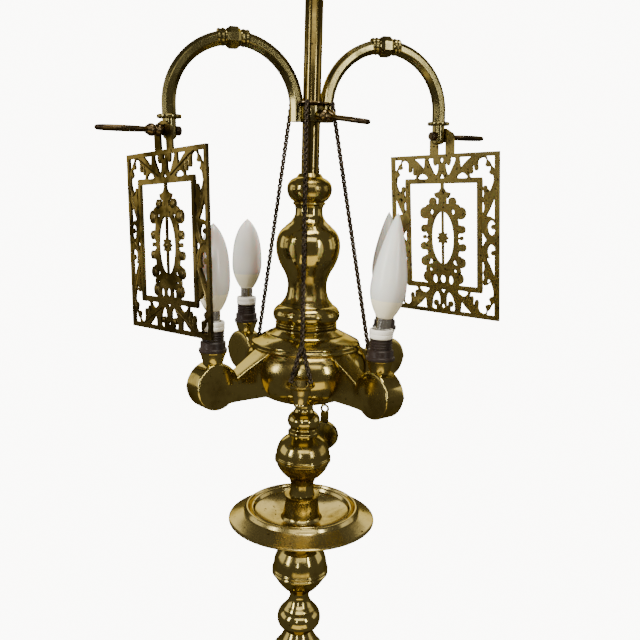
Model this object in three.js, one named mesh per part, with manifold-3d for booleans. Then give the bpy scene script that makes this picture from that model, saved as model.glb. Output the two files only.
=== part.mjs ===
import * as THREE from 'three';
import { mergeVertices } from 'three/addons/utils/BufferGeometryUtils.js';
import Module from 'manifold-3d';

// Four-light floor lamp in turned brass, in the manner of the old oil lamps that carried
// pierced screens and hanging tools. Millimetres, +Z up, origin on the floor under the stem.
// +X is the viewer's right and -Y is the side towards the viewer.

const lamp = new THREE.Group();
const wasm = await Module();
wasm.setup();

// Clearances that every pair of pieces shares
const seatGap = 0.3;
const runningGap = 0.3;
const cutOverrun = 3;
const mergeTolerance = 1e-4;

// How finely round things are cut
const turnSteps = 12;
const wideSteps = 18;
const smallSteps = 7;
const curveSteps = 2;

// Base: felt sheet, hollow foot, iron weight inside it, nut and tie rod
const felt = { radius: 146, thickness: 2.5 };
const foot = { radius: 150, height: 66, wall: 4, ceiling: 27, hubWall: 9 };
const ballast = { radius: 96, thickness: 11, recessRadius: 15, recessDepth: 6.5 };
const rodNut = { radius: 10.5, height: 6, rodBeyond: 1.5 };
const tieRod = { radius: 5, bore: 3.5 };
const upperRod = { radius: 9.8, length: 480 };
const gland = { height: 9, radius: 4.4, flangeRadius: 6, flangeLength: 2.5, tail: 3 };
const lead = { radius: 2, floorClear: 0.6, dip: 30, branchHeight: 28, branchBend: 12 };

// Rows of shares that draw a turned outline, as shares of a piece's radius and height.
// Two numbers end a straight stretch; four numbers bend it towards the first pair.
const footShares = [[1, 0.212], [0.97, 0.3], [0.875, 0.35], [0.865, 0.42], [0.7, 0.46, 0.48, 0.55], [0.47, 0.62],
  [0.36, 0.66, 0.28, 0.84], [0.26, 0.86], [0.26, 0.93], [0.24, 1]];
const hubShares = [[0.2, 1], [0.49, 0.474], [0.68, 0.474], [0.86, 0.4], [0.98, 0.25], [1, 0]];
const baseUrnShares = [[0.85, 0], [0.88, 0.06], [0.42, 0.1, 0.4, 0.2], [0.52, 0.22], [0.52, 0.25], [0.42, 0.27],
  [0.95, 0.36, 1, 0.58], [1, 0.76, 0.55, 0.83], [0.6, 0.85], [0.6, 0.89], [0.42, 0.91], [0.4, 1]];
const columnShares = [[0.95, 0], [1, 0.028], [0.78, 0.04], [0.72, 0.45], [0.9, 0.465], [1.25, 0.48], [1.25, 0.52],
  [0.9, 0.535], [0.7, 0.55], [0.64, 0.94], [0.8, 0.964], [1, 0.975], [0.95, 1]];
const balusterShares = [[0.54, 0], [0.58, 0.04], [0.42, 0.06], [0.6, 0.085], [0.6, 0.11], [0.4, 0.13],
  [0.4, 0.45, 0.82, 0.64], [1, 0.72, 1, 0.79], [1, 0.88, 0.72, 0.915], [0.47, 1]];
const lowerKnopShares = [[0.62, 0], [0.66, 0.05], [1, 0.14, 1, 0.3], [1, 0.47, 0.745, 0.56], [0.7, 0.6],
  [0.5, 0.7, 0.44, 0.84], [0.45, 0.93, 0.515, 1]];
const lowerBallShares = [[0.42, 0], [0.7, 0.1, 0.94, 0.36], [1, 0.39], [1, 0.42], [0.965, 0.44], [1, 0.46],
  [1, 0.49], [0.96, 0.51], [0.95, 0.72, 0.8, 0.85], [0.756, 0.9], [0.59, 1]];
const panShares = [[0.227, 0], [0.233, 0.075], [0.198, 0.155], [0.279, 0.378], [0.314, 0.483], [0.54, 0.55],
  [0.674, 0.689], [0.744, 0.7], [0.983, 0.515], [1, 0.531], [1, 0.553], [0.773, 0.719], [0.74, 0.757], [0.709, 0.722],
  [0.678, 0.752], [0.628, 0.705], [0.5, 0.61], [0.285, 0.54], [0.256, 0.6], [0.213, 0.936], [0.235, 0.968], [0.235, 1]];
const upperBallShares = [[0.46, 0], [0.415, 0.08], [0.415, 0.19], [0.485, 0.285], [0.86, 0.4, 0.965, 0.57],
  [1, 0.585], [1, 0.635], [0.97, 0.65], [0.955, 0.84, 0.73, 0.93], [0.52, 1]];
const smallKnopShares = [[0.9, 0], [0.95, 0.03], [0.95, 0.12], [0.79, 0.2], [0.79, 0.24], [1, 0.32, 1, 0.45],
  [1, 0.6, 0.63, 0.72], [0.56, 0.8], [0.56, 0.9], [0.63, 1]];
const vaseFootShares = [[0.89, 0], [0.92, 0.04], [0.92, 0.1], [0.88, 0.12], [0.92, 0.15], [0.92, 0.2], [0.88, 0.23],
  [0.98, 0.28, 1, 0.5], [1, 0.72, 0.84, 0.86], [0.8, 0.88], [0.74, 1]];
const vaseShares = [[0.766, 0], [0.62, 0.06, 0.61, 0.17], [0.61, 0.26, 0.77, 0.35], [0.99, 0.47, 1, 0.6],
  [1, 0.74, 0.73, 0.807], [0.694, 0.822], [0.46, 0.88, 0.426, 0.95], [0.418, 1]];
const vaseKnobShares = [[0.62, 0], [0.64, 0.08], [0.72, 0.12], [0.72, 0.16], [0.68, 0.19], [0.98, 0.3, 1, 0.55],
  [1, 0.76, 0.695, 0.867], [0.6, 0.89], [0.48, 1]];
const finialShares = [[0.66, 0], [0.66, 0.1], [0.88, 0.14], [0.88, 0.2], [0.6, 0.25], [1.02, 0.34, 1, 0.54],
  [0.96, 0.76, 0.42, 0.84], [0.42, 1]];

// The turned pieces in the order in which they are threaded, below and above the reservoir
const lowerStack = [
  { name: 'base_urn', radius: 40, height: 155, shares: baseUrnShares },
  { name: 'column', radius: 20, height: 376.5, shares: columnShares },
  { name: 'baluster', radius: 34, height: 193.4, shares: balusterShares },
  { name: 'lower_knop', radius: 26.2, height: 52.7, shares: lowerKnopShares },
  { name: 'lower_ball', radius: 33.6, height: 59, shares: lowerBallShares },
  { name: 'drip_pan', radius: 86, height: 62.8, shares: panShares, steps: wideSteps },
  { name: 'upper_ball', radius: 32.8, height: 72.6, shares: upperBallShares },
  { name: 'small_knop', radius: 19, height: 39.4, shares: smallKnopShares },
];
const upperStack = [
  { name: 'vase_foot', radius: 37.8, height: 28.2, shares: vaseFootShares },
  { name: 'vase_body', radius: 35.9, height: 103.7, shares: vaseShares },
  { name: 'vase_knob', radius: 24.9, height: 37.7, shares: vaseKnobShares },
];

// Reservoir with its four spouts, and its lid
const reservoir = { radius: 70, height: 70.7, wall: 2.5, floor: 4, rimRadius: 61 };
const reservoirShares = [[0.186, 0], [0.25, 0.02], [0.72, 0.1, 0.9, 0.32], [1, 0.45, 1, 0.62],
  [1, 0.83, 0.879, 0.925], [0.893, 0.95], [0.893, 0.975], [0.871, 1]];
const hollowShares = [[0.25, 0], [0.5, 0.06], [0.93, 0.36], [0.98, 0.6], [0.84, 0.9], [0.84, 1]];
const lid = { height: 17.4, thickness: 3, topRadius: 35, edge: 2, grooveShare: 0.62, grooveWidthShare: 0.05, grooveDepth: 1 };
const spout = {
  reach: 123, bowlRadius: 25, bowlHeight: 38.4, rampHeight: 66.9, rampSlope: 30, width: 25, wall: 2,
  underHeight: 18.4, underReach: 92, underBend: 103, underAngle: 235, rootRadius: 50,
};
const spoutAngles = { left_front: -141, right_front: -52, right_rear: 38, left_rear: 128 };

// Neck, lampholder, porcelain ring and bulb on each spout
const neck = { radius: 14.5, rise: 11.5, sink: 5, bore: 7 };
const neckShares = [[0.72, 0], [0.72, 0.3], [0.94, 0.92], [1, 0.93], [1, 1]];
const holder = { radius: 14.7, height: 21.5, bore: 9.9, floor: 13 };
const holderShares = [[1, 0], [1, 0.12], [0.9, 0.16], [0.9, 0.44], [0.8, 0.5], [0.74, 0.63], [0.8, 0.73], [0.8, 1]];
const ring = { radius: 12.1, height: 9.5 };
const ringShares = [[0.94, 0], [1, 0.15], [1, 0.8], [0.95, 1]];
const cap = { radius: 7.4, length: 30, contactRadius: 3.5, contactHeight: 2, lipShare: 1.16 };
const roundTipShare = 0.45;
const flameTipShare = 0.12;
const bulbs = {
  left_front: { radius: 18.2, base: 28, globe: 60, tipShare: roundTipShare, lean: 0 },
  right_front: { radius: 18.2, base: 29, globe: 75, tipShare: flameTipShare, lean: 5 },
  right_rear: { radius: 18.2, base: 29, globe: 70, tipShare: flameTipShare, lean: 0 },
  left_rear: { radius: 18.2, base: 29, globe: 56, tipShare: roundTipShare, lean: 0 },
};

// Collar that slides and turns on the upper rod, and the flat hoop that the chains hang from
const collar = { height: 18, drop: 153, wall: 1.5, bushWall: 0.9, bossRadius: 5, bossReach: 6, screwAngle: -52, screwDroop: 8 };
const hoop = { radius: 20, thickness: 2, notchGap: 0.5 };
const finial = { radius: 19, height: 52, socket: 20 };
const finialRing = { radius: 20, wire: 3.2, sink: 3 };

// Arms, with a knot at the top of each arch and a flange at the end
const arm = {
  angle: 17.2, tilt: 1.5, root: 17, reach: 152, across: 14, leg: 14.6, sides: 8,
  flangeRadius: 12.5, flangeHeight: 4, pivotDepth: 11,
};
const knot = { length: 33, nutLength: 15, nutRadius: 11.5, beadRadius: 8.8, endRadius: 7.9, wireStep: 4 };
const stub = { radius: 7, height: 21, thickness: 11.6, shoulder: 0.4, pinRadius: 3, screwDrop: 12, turn: 23.8 };

// Thumbscrews with turned beads and an oval loop
const screw = {
  shank: 2.5, beads: 19, beadRadius: 6.4, loopLength: 56, loopWidth: 27, wire: 2.6,
  shoulderRadius: 5.3, nutLength: 6, nutRadius: 5,
};
const beadShares = [[0.82, 0], [1, 0.12], [1, 0.28], [0.7, 0.42], [1, 0.54], [1, 0.7], [0.5, 1]];

// Pierced screens, drawn about the thumbscrew that carries them
const screen = {
  width: 158, height: 188, drop: 19.5, barWidth: 5, barThickness: 3.4, innerBar: 4.2, thickness: 2.6,
  sideShare: 0.131, endShare: 0.162, earRadius: 17.5, earHeight: 15.5, earDrop: 6, leftSpin: 3, rightSpin: -1.3, leftLean: -1.8, rightLean: -2.5,
};
const cartouche = {
  widthShare: 0.37, topShare: 0.26, bottomShare: 0.74, openWidthShare: 0.206, openHeightShare: 0.339,
  lobes: 10, lobeShare: 0.13, bar: 2.2, rosetteRadius: 7, petals: 8, petalShare: 0.18,
};

// Chains and the lamplighter's tools that they carry
const chain = { radius: 2.8, sides: 6, bendRadius: 76.5, bendDrop: 295, bendRound: 12 };
const chains = {
  front: { top: -103, angle: -92.5, drop: 0 },
  left: { top: 160, angle: 141.5, drop: 30 },
  right: { top: -20, angle: -7, drop: 30 },
  rear: { top: 83, angle: 70, drop: 62 },
};
const bucket = { radius: 14.7, height: 24, wall: 1.8, bottom: 3, reach: 89.5, fall: 288, strandGap: 10.5, splitRise: 36 };
const bucketShares = [[0.5, 0], [0.55, 0.05], [0.34, 0.12], [0.8, 0.22], [0.9, 0.9], [1, 0.92], [1, 1]];
const trimmer = { boxRadius: 18, boxDepth: 9, neckWidth: 10, neckLength: 14, plate: 3, lugRadius: 6, wire: 1.5, spike: 17 };
const pick = { radius: 1.6, length: 42, knobRadius: 4.2 };
const tweezers = { length: 38, width: 5, plate: 1.6, spread: 9 };

const finishes = {
  brass: { color: 0xa08a45, roughness: 0.28, metalness: 1 },
  aged: { color: 0x6f6038, roughness: 0.42, metalness: 1 },
  bronze: { color: 0x2a2420, roughness: 0.5, metalness: 0.9 },
  screenBrass: { color: 0x9c8340, roughness: 0.45, metalness: 1 },
  iron: { color: 0x33322f, roughness: 0.8, metalness: 0.6 },
  steel: { color: 0x9a9a96, roughness: 0.4, metalness: 1 },
  felt: { color: 0x2f4a35, roughness: 0.95, metalness: 0 },
  bakelite: { color: 0x2b1d18, roughness: 0.45, metalness: 0 },
  porcelain: { color: 0xe6e2d4, roughness: 0.3, metalness: 0 },
  glass: { color: 0xd9dbd4, roughness: 0.35, metalness: 0 },
  rubber: { color: 0x1d1c1b, roughness: 0.7, metalness: 0 },
};

function radians(degrees) {
  return THREE.MathUtils.degToRad(degrees);
}

// Merges shared corners, drops flat triangles and turns every face outwards
function closed(geometry) {
  geometry.deleteAttribute('normal');
  geometry.deleteAttribute('uv');
  const merged = mergeVertices(geometry, mergeTolerance);
  const place = merged.getAttribute('position');
  const corner = [0, 1, 2].map(() => new THREE.Vector3());
  const faces = [];
  let volume = 0;
  for (let start = 0; start < merged.index.count; start += 3) {
    const face = [0, 1, 2].map((step) => merged.index.getX(start + step));
    if (new Set(face).size === 3) {
      faces.push(face);
      face.forEach((vertex, step) => corner[step].fromBufferAttribute(place, vertex));
      volume += corner[0].dot(corner[1].clone().cross(corner[2]));
    }
  }
  merged.setIndex((volume < 0 ? faces.map(([a, b, c]) => [a, c, b]) : faces).flat());
  return merged;
}

function solid(geometry) {
  const { index, attributes } = closed(geometry);
  const mesh = new wasm.Mesh({
    numProp: 3,
    vertProperties: new Float32Array(attributes.position.array),
    triVerts: new Uint32Array(index.array),
  });
  return new wasm.Manifold(mesh);
}

function shapeOf(body) {
  const { vertProperties, triVerts } = body.getMesh();
  const geometry = new THREE.BufferGeometry();
  geometry.setAttribute('position', new THREE.BufferAttribute(vertProperties, 3));
  geometry.setIndex(new THREE.BufferAttribute(triVerts, 1));
  return geometry;
}

function joined(...geometries) {
  const [first, ...rest] = geometries;
  return shapeOf(rest.reduce((sum, next) => sum.add(solid(next)), solid(first)));
}

function cut(geometry, ...cutters) {
  return shapeOf(cutters.reduce((left, cutter) => left.subtract(solid(cutter)), solid(geometry)));
}

function addPiece(name, geometry, finish, parent = lamp) {
  const mesh = new THREE.Mesh(closed(geometry), new THREE.MeshStandardMaterial(finishes[finish]));
  mesh.geometry.computeVertexNormals();
  mesh.name = name;
  parent.add(mesh);
  return mesh;
}

function outline(rows, radius, height, lift = 0) {
  const path = new THREE.Path();
  rows.forEach((row, place) => {
    const [r, h] = row.slice(-2);
    if (place === 0) {
      path.moveTo(r * radius, lift + h * height);
    } else if (row.length === 2) {
      path.lineTo(r * radius, lift + h * height);
    } else {
      path.quadraticCurveTo(row[0] * radius, lift + row[1] * height, r * radius, lift + h * height);
    }
  });
  return path.getPoints(curveSteps);
}

function spun(points, steps = turnSteps) {
  return new THREE.LatheGeometry(points, steps).rotateX(Math.PI / 2);
}

// The corner radius of a hole whose flats stand a running gap away from a shaft
function holeOver(shaft, steps = turnSteps) {
  return (shaft + runningGap) / Math.cos(Math.PI / steps);
}

// A turned piece with a hole right through it that runs over a shaft
function bored(points, shaft, steps = turnSteps) {
  const bore = holeOver(shaft, steps);
  const high = points[points.length - 1].y;
  const ends = [new THREE.Vector2(bore, high), new THREE.Vector2(bore, points[0].y), points[0].clone()];
  return spun([...points, ...ends], steps);
}

// A turned piece that is closed to the axis at both ends
function full(points, steps) {
  const high = points[points.length - 1].y;
  return spun([new THREE.Vector2(0, points[0].y), ...points, new THREE.Vector2(0, high)], steps);
}

function rodBetween(radius, low, high, steps = smallSteps) {
  return full([new THREE.Vector2(radius, low), new THREE.Vector2(radius, high)], steps);
}

// The cutter for a hole that runs over a shaft
function drill(shaft, low, high, steps = smallSteps) {
  return rodBetween(holeOver(shaft, steps), low, high, steps);
}

// A bar along X, from one place to another
function barAlongX(radius, from, to, steps = smallSteps) {
  return rodBetween(radius, from, to, steps).rotateY(Math.PI / 2);
}

function polygonShape(sides, across) {
  const shape = new THREE.Shape();
  const corner = across / 2 / Math.cos(Math.PI / sides);
  for (let side = 0; side < sides; side += 1) {
    const turn = (side + 0.5) * 2 * Math.PI / sides;
    const place = [corner * Math.cos(turn), corner * Math.sin(turn)];
    if (side === 0) {
      shape.moveTo(...place);
    } else {
      shape.lineTo(...place);
    }
  }
  return shape;
}

// A six-sided nut over a threaded shaft
function hexNut(radius, shaft, low, high) {
  const shape = polygonShape(6, 2 * radius * Math.cos(Math.PI / 6));
  const bore = new THREE.Path();
  bore.absarc(0, 0, holeOver(shaft, 12), 0, 2 * Math.PI, false);
  shape.holes.push(bore);
  const nut = new THREE.ExtrudeGeometry(shape, { depth: high - low, bevelEnabled: false, curveSegments: 6 });
  return nut.translate(0, 0, low);
}

function tubeAlong(curve, across, sides, steps) {
  return new THREE.ExtrudeGeometry(polygonShape(sides, across), { extrudePath: curve, steps, bevelEnabled: false });
}

// A plate drawn in width and height, standing in the YZ plane and centred on X
function standingPlate(shape, thickness) {
  const plate = new THREE.ExtrudeGeometry(shape, { depth: thickness, bevelEnabled: false, curveSegments: 6 });
  return plate.translate(0, 0, -thickness / 2).rotateX(Math.PI / 2).rotateZ(Math.PI / 2);
}

function polar(radius, degrees, height) {
  return new THREE.Vector3(radius * Math.cos(radians(degrees)), radius * Math.sin(radians(degrees)), height);
}

// Heights, worked out from the floor up
const footBottom = felt.thickness + seatGap;
const footTop = footBottom + foot.height;

function stackFrom(pieces, bottom) {
  let level = bottom;
  return pieces.map((piece) => {
    const placed = { ...piece, bottom: level };
    level += piece.height + seatGap;
    return placed;
  });
}

const lowerPieces = stackFrom(lowerStack, footTop + seatGap);
const topOf = (pieces) => pieces[pieces.length - 1].bottom + pieces[pieces.length - 1].height;
const reservoirBottom = topOf(lowerPieces) + seatGap;
const reservoirTop = reservoirBottom + reservoir.height;
const lidBottom = reservoirTop + seatGap;
const upperPieces = stackFrom(upperStack, lidBottom + lid.height + seatGap);
const upperRodBottom = reservoirBottom + reservoir.floor + seatGap;
const upperRodTop = upperRodBottom + upperRod.length;
const ballastBottom = footBottom + foot.ceiling - seatGap - ballast.thickness;
const nutTop = ballastBottom + ballast.recessDepth - seatGap;
const tieRodBottom = nutTop - rodNut.height - rodNut.rodBeyond;
const tieRodTop = upperRodBottom + lead.branchHeight - lead.radius - cutOverrun;
const collarTop = upperRodTop - collar.drop;
const collarBottom = collarTop - collar.height;
const bushRadius = holeOver(upperRod.radius) + collar.bushWall;
const collarRadius = holeOver(bushRadius) + collar.wall;
const hoopBottom = collarTop + seatGap;

function addBase() {
  addPiece('base_felt', rodBetween(felt.radius, 0, felt.thickness, wideSteps), 'felt');

  const rodBore = holeOver(tieRod.radius, wideSteps);
  const hubRoof = footTop - foot.hubWall;
  const inside = outline(hubShares, foot.radius - foot.wall, hubRoof - footBottom, footBottom);
  const shell = [
    new THREE.Vector2(foot.radius, footBottom),
    ...outline(footShares, foot.radius, foot.height, footBottom),
    new THREE.Vector2(rodBore, footTop),
    new THREE.Vector2(rodBore, hubRoof),
    ...inside,
    new THREE.Vector2(foot.radius, footBottom),
  ];
  const glandHeight = footBottom + gland.height;
  const glandHole = drill(gland.radius, -2 * cutOverrun, 2 * foot.wall)
    .rotateX(-Math.PI / 2)
    .translate(0, foot.radius - foot.wall, glandHeight);
  addPiece('base_foot', cut(spun(shell, wideSteps), glandHole), 'brass');

  const recess = rodBetween(ballast.recessRadius, ballastBottom - cutOverrun, ballastBottom + ballast.recessDepth);
  const weight = bored([
    new THREE.Vector2(ballast.radius, ballastBottom),
    new THREE.Vector2(ballast.radius, ballastBottom + ballast.thickness),
  ], tieRod.radius, wideSteps);
  addPiece('base_weight', cut(weight, recess), 'iron');

  addPiece('base_nut', hexNut(rodNut.radius, tieRod.radius, nutTop - rodNut.height, nutTop), 'steel');

  const outlet = new THREE.Group();
  outlet.position.set(0, foot.radius - foot.wall - gland.tail, glandHeight);
  outlet.rotation.x = -Math.PI / 2;
  const glandLength = gland.tail + foot.wall;
  const bushing = bored([
    new THREE.Vector2(gland.radius, 0),
    new THREE.Vector2(gland.radius, glandLength + seatGap),
    new THREE.Vector2(gland.flangeRadius, glandLength + seatGap),
    new THREE.Vector2(gland.flangeRadius, glandLength + gland.flangeLength),
  ], lead.radius / Math.cos(Math.PI / 4), smallSteps);
  addPiece('cable_gland', bushing, 'rubber', outlet);
  lamp.add(outlet);
}

function addStem() {
  for (const { name, radius, height, shares, steps, bottom } of lowerPieces) {
    addPiece(name, bored(outline(shares, radius, height, bottom), tieRod.radius, steps), 'brass');
  }
  for (const { name, radius, height, shares, bottom } of upperPieces) {
    addPiece(name, bored(outline(shares, radius, height, bottom), upperRod.radius), 'brass');
  }
  const threaded = [new THREE.Vector2(tieRod.radius, tieRodBottom), new THREE.Vector2(tieRod.radius, tieRodTop)];
  addPiece('tie_rod', bored(threaded, tieRod.bore - runningGap, smallSteps), 'steel');
}

// One spout in the plane of its radius and height, drawn smaller by an inset for its hollow
function spoutSection(inset) {
  const slope = radians(spout.rampSlope);
  const normal = new THREE.Vector2(Math.sin(slope), Math.cos(slope));
  const along = new THREE.Vector2(Math.cos(slope), -Math.sin(slope));
  const centre = new THREE.Vector2(spout.reach, spout.bowlHeight);
  const rim = new THREE.Vector2(reservoir.rimRadius, spout.rampHeight);
  const offset = rim.clone().sub(centre).dot(normal) - inset;
  const bowl = spout.bowlRadius - inset;
  const halfChord = Math.sqrt(bowl ** 2 - offset ** 2);
  const notch = centre.clone().addScaledVector(normal, offset).addScaledVector(along, -halfChord);
  const notchTurn = Math.atan2(notch.y - centre.y, notch.x - centre.x);
  const shape = new THREE.Shape();
  shape.moveTo(spout.rootRadius, spout.rampHeight - inset);
  shape.lineTo(rim.x, spout.rampHeight - inset / Math.cos(slope));
  shape.lineTo(notch.x, notch.y);
  shape.absarc(centre.x, centre.y, bowl, notchTurn, radians(spout.underAngle - 360), true);
  shape.quadraticCurveTo(spout.underBend, spout.underHeight + inset, spout.underReach, spout.underHeight + inset);
  shape.lineTo(spout.rootRadius, spout.underHeight + inset);
  shape.closePath();
  return shape;
}

function spoutSolid(inset, curveSegments) {
  const width = spout.width - 2 * inset;
  const block = new THREE.ExtrudeGeometry(spoutSection(inset), { depth: width, bevelEnabled: false, curveSegments });
  return block.translate(0, 0, -width / 2).rotateX(Math.PI / 2).translate(0, 0, reservoirBottom);
}

function addReservoir() {
  const bowlTop = reservoirBottom + spout.bowlHeight + spout.bowlRadius;
  const outside = full(outline(reservoirShares, reservoir.radius, reservoir.height, reservoirBottom), wideSteps);
  const hollowHeight = reservoir.height - reservoir.floor + seatGap;
  const hollowBottom = reservoirBottom + reservoir.floor;
  const hollow = full(outline(hollowShares, reservoir.radius - reservoir.wall, hollowHeight, hollowBottom), wideSteps);
  const turns = Object.values(spoutAngles).map(radians);
  const spouts = turns.map((turn) => spoutSolid(0, 8).rotateZ(turn));
  const hollows = turns.map((turn) => spoutSolid(spout.wall, 3).rotateZ(turn));
  const mouths = turns.map((turn) => (
    rodBetween(neck.bore, bowlTop - spout.bowlRadius, bowlTop + cutOverrun).translate(spout.reach, 0, 0).rotateZ(turn)
  ));
  const rodHole = drill(tieRod.radius, reservoirBottom - cutOverrun, hollowBottom + cutOverrun, turnSteps);
  addPiece('reservoir', cut(joined(outside, ...spouts), hollow, ...hollows, ...mouths, rodHole), 'brass');
}

function addLid() {
  const rimRadius = reservoir.rimRadius;
  const rodBore = holeOver(upperRod.radius, wideSteps);
  const top = lidBottom + lid.height;
  const slopeAt = (share) => new THREE.Vector2(
    THREE.MathUtils.lerp(rimRadius, lid.topRadius, share),
    THREE.MathUtils.lerp(lidBottom + lid.edge, top - lid.edge, share),
  );
  const groove = slopeAt(lid.grooveShare + lid.grooveWidthShare);
  const points = [
    new THREE.Vector2(rimRadius - lid.thickness, lidBottom),
    new THREE.Vector2(rimRadius, lidBottom),
    slopeAt(0),
    slopeAt(lid.grooveShare),
    new THREE.Vector2(groove.x, groove.y - lid.grooveDepth),
    slopeAt(lid.grooveShare + 2 * lid.grooveWidthShare),
    slopeAt(1),
    new THREE.Vector2(lid.topRadius, top),
    new THREE.Vector2(rodBore, top),
    new THREE.Vector2(rodBore, top - lid.thickness),
    new THREE.Vector2(lid.topRadius - lid.thickness, top - lid.thickness),
    new THREE.Vector2(rimRadius - lid.thickness, lidBottom),
  ];
  addPiece('reservoir_lid', spun(points, wideSteps), 'brass');
}

function bulbOutline({ radius, base, globe, tipShare }) {
  const shoulder = cap.length + base;
  const lip = cap.radius * cap.lipShare;
  const path = new THREE.Path();
  path.moveTo(0, 0);
  path.lineTo(cap.contactRadius, 0);
  path.lineTo(cap.contactRadius, cap.contactHeight);
  path.lineTo(cap.radius, 2 * cap.contactHeight);
  path.lineTo(cap.radius, cap.length);
  path.lineTo(lip, cap.length);
  path.quadraticCurveTo(radius, shoulder - base / 2, radius, shoulder);
  path.bezierCurveTo(radius, shoulder + globe / 3, radius * tipShare * 2, shoulder + globe * (1 - tipShare / 2),
    0, shoulder + globe);
  return path.getPoints(2 * curveSteps);
}

function addLights() {
  const bowlTop = spout.bowlHeight + spout.bowlRadius;
  for (const [side, degrees] of Object.entries(spoutAngles)) {
    const place = new THREE.Group();
    place.rotation.z = radians(degrees);
    const upright = new THREE.Group();
    upright.position.set(spout.reach, 0, reservoirBottom + bowlTop);
    place.add(upright);
    lamp.add(place);

    const saddle = drill(spout.bowlRadius, -spout.width, spout.width, 2 * wideSteps)
      .rotateX(Math.PI / 2)
      .translate(0, 0, -spout.bowlRadius);
    const neckHeight = neck.rise + neck.sink;
    const cone = bored(outline(neckShares, neck.radius, neckHeight, -neck.sink), neck.bore - runningGap, smallSteps);
    addPiece(`spout_neck_${side}`, cut(cone, saddle), 'brass', upright);

    const holderBottom = neck.rise + seatGap;
    const holderPoints = outline(holderShares, holder.radius, holder.height, holderBottom);
    const cup = spun([
      new THREE.Vector2(0, holderBottom),
      ...holderPoints,
      new THREE.Vector2(holder.bore, holderBottom + holder.height),
      new THREE.Vector2(holder.bore, holderBottom + holder.floor),
      new THREE.Vector2(0, holderBottom + holder.floor),
    ], smallSteps);
    addPiece(`lampholder_${side}`, cup, 'bakelite', upright);

    const ringBottom = holderBottom + holder.height + seatGap;
    const collarRing = bored(outline(ringShares, ring.radius, ring.height, ringBottom), holder.bore - runningGap, smallSteps);
    addPiece(`porcelain_ring_${side}`, collarRing, 'porcelain', upright);

    const leaning = new THREE.Group();
    const bulb = bulbs[side];
    const heel = cap.contactRadius * Math.sin(radians(bulb.lean));
    leaning.position.z = holderBottom + holder.floor + seatGap + heel;
    leaning.rotation.z = -radians(degrees);
    const glass = spun(bulbOutline(bulb), smallSteps).rotateY(radians(bulb.lean));
    addPiece(`bulb_${side}`, glass, 'glass', leaning);
    upright.add(leaning);
  }
}

function addRodAndFinial() {
  const branchHole = drill(lead.radius / Math.cos(Math.PI / 4), 0, 2 * upperRod.radius, 5)
    .rotateY(Math.PI / 2)
    .translate(0, 0, upperRodBottom + lead.branchHeight);
  const tube = bored([
    new THREE.Vector2(upperRod.radius, upperRodBottom),
    new THREE.Vector2(upperRod.radius, upperRodTop),
  ], tieRod.radius);
  const holes = Object.values(spoutAngles).map((degrees) => branchHole.clone().rotateZ(radians(degrees)));
  addPiece('upper_rod', cut(tube, ...holes), 'brass');

  const finialBottom = upperRodTop + seatGap - finial.socket;
  const top = finialBottom + finial.height;
  const knob = full(outline(finialShares, finial.radius, finial.height, finialBottom));
  const socket = drill(upperRod.radius, finialBottom - cutOverrun, upperRodTop + seatGap, turnSteps);
  const loop = new THREE.TorusGeometry(finialRing.radius, finialRing.wire, 6, 14)
    .rotateX(Math.PI / 2)
    .translate(0, 0, top + finialRing.radius + finialRing.wire - finialRing.sink);
  addPiece('finial', cut(joined(knob, loop), socket), 'brass');
}

// The inner lead runs from the gland, up through the tie rod and out along each spout
function addLead() {
  const low = felt.thickness + lead.floorClear + lead.radius;
  const glandEnd = foot.radius - foot.wall - gland.tail - seatGap;
  const glandHeight = footBottom + gland.height;
  const branchHeight = upperRodBottom + lead.branchHeight;
  const rise = tieRodBottom - low;
  const line = (...points) => new THREE.LineCurve3(...points.map(([y, z]) => new THREE.Vector3(0, y, z)));
  const across = 2 * lead.radius;
  const bent = (...points) => new THREE.CubicBezierCurve3(...points.map(([y, z]) => new THREE.Vector3(0, y, z)));
  const middle = glandEnd - lead.dip / 2;
  const dipEnd = glandEnd - lead.dip;
  const trunk = [
    tubeAlong(bent([glandEnd, glandHeight], [middle, glandHeight], [middle, low], [dipEnd, low]), across, 4, 4),
    tubeAlong(line([dipEnd, low], [rise, low]), across, 4, 1),
    tubeAlong(bent([rise, low], [rise / 2, low], [0, low + rise / 2], [0, tieRodBottom]), across, 4, 4),
    tubeAlong(line([0, tieRodBottom], [0, branchHeight]), across, 4, 1),
  ];
  const holderUnder = reservoirBottom + spout.bowlHeight + spout.bowlRadius + neck.rise;
  const bend = spout.reach - lead.branchBend;
  const out = (...points) => new THREE.CatmullRomCurve3(
    points.map(([x, z]) => new THREE.Vector3(x, 0, z)), false, 'centripetal');
  const branches = Object.values(spoutAngles).flatMap((degrees) => [
    tubeAlong(out([0, branchHeight], [bend, branchHeight]), across, 4, 1),
    tubeAlong(out([bend, branchHeight], [bend + lead.branchBend * 0.7, branchHeight + lead.branchBend * 0.3],
      [spout.reach, branchHeight + lead.branchBend]), across, 4, 3),
    tubeAlong(out([spout.reach, branchHeight + lead.branchBend], [spout.reach, holderUnder]), across, 4, 1),
  ].map((run) => run.rotateZ(radians(degrees))));
  addPiece('inner_lead', joined(...trunk, ...branches), 'rubber');
}

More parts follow.
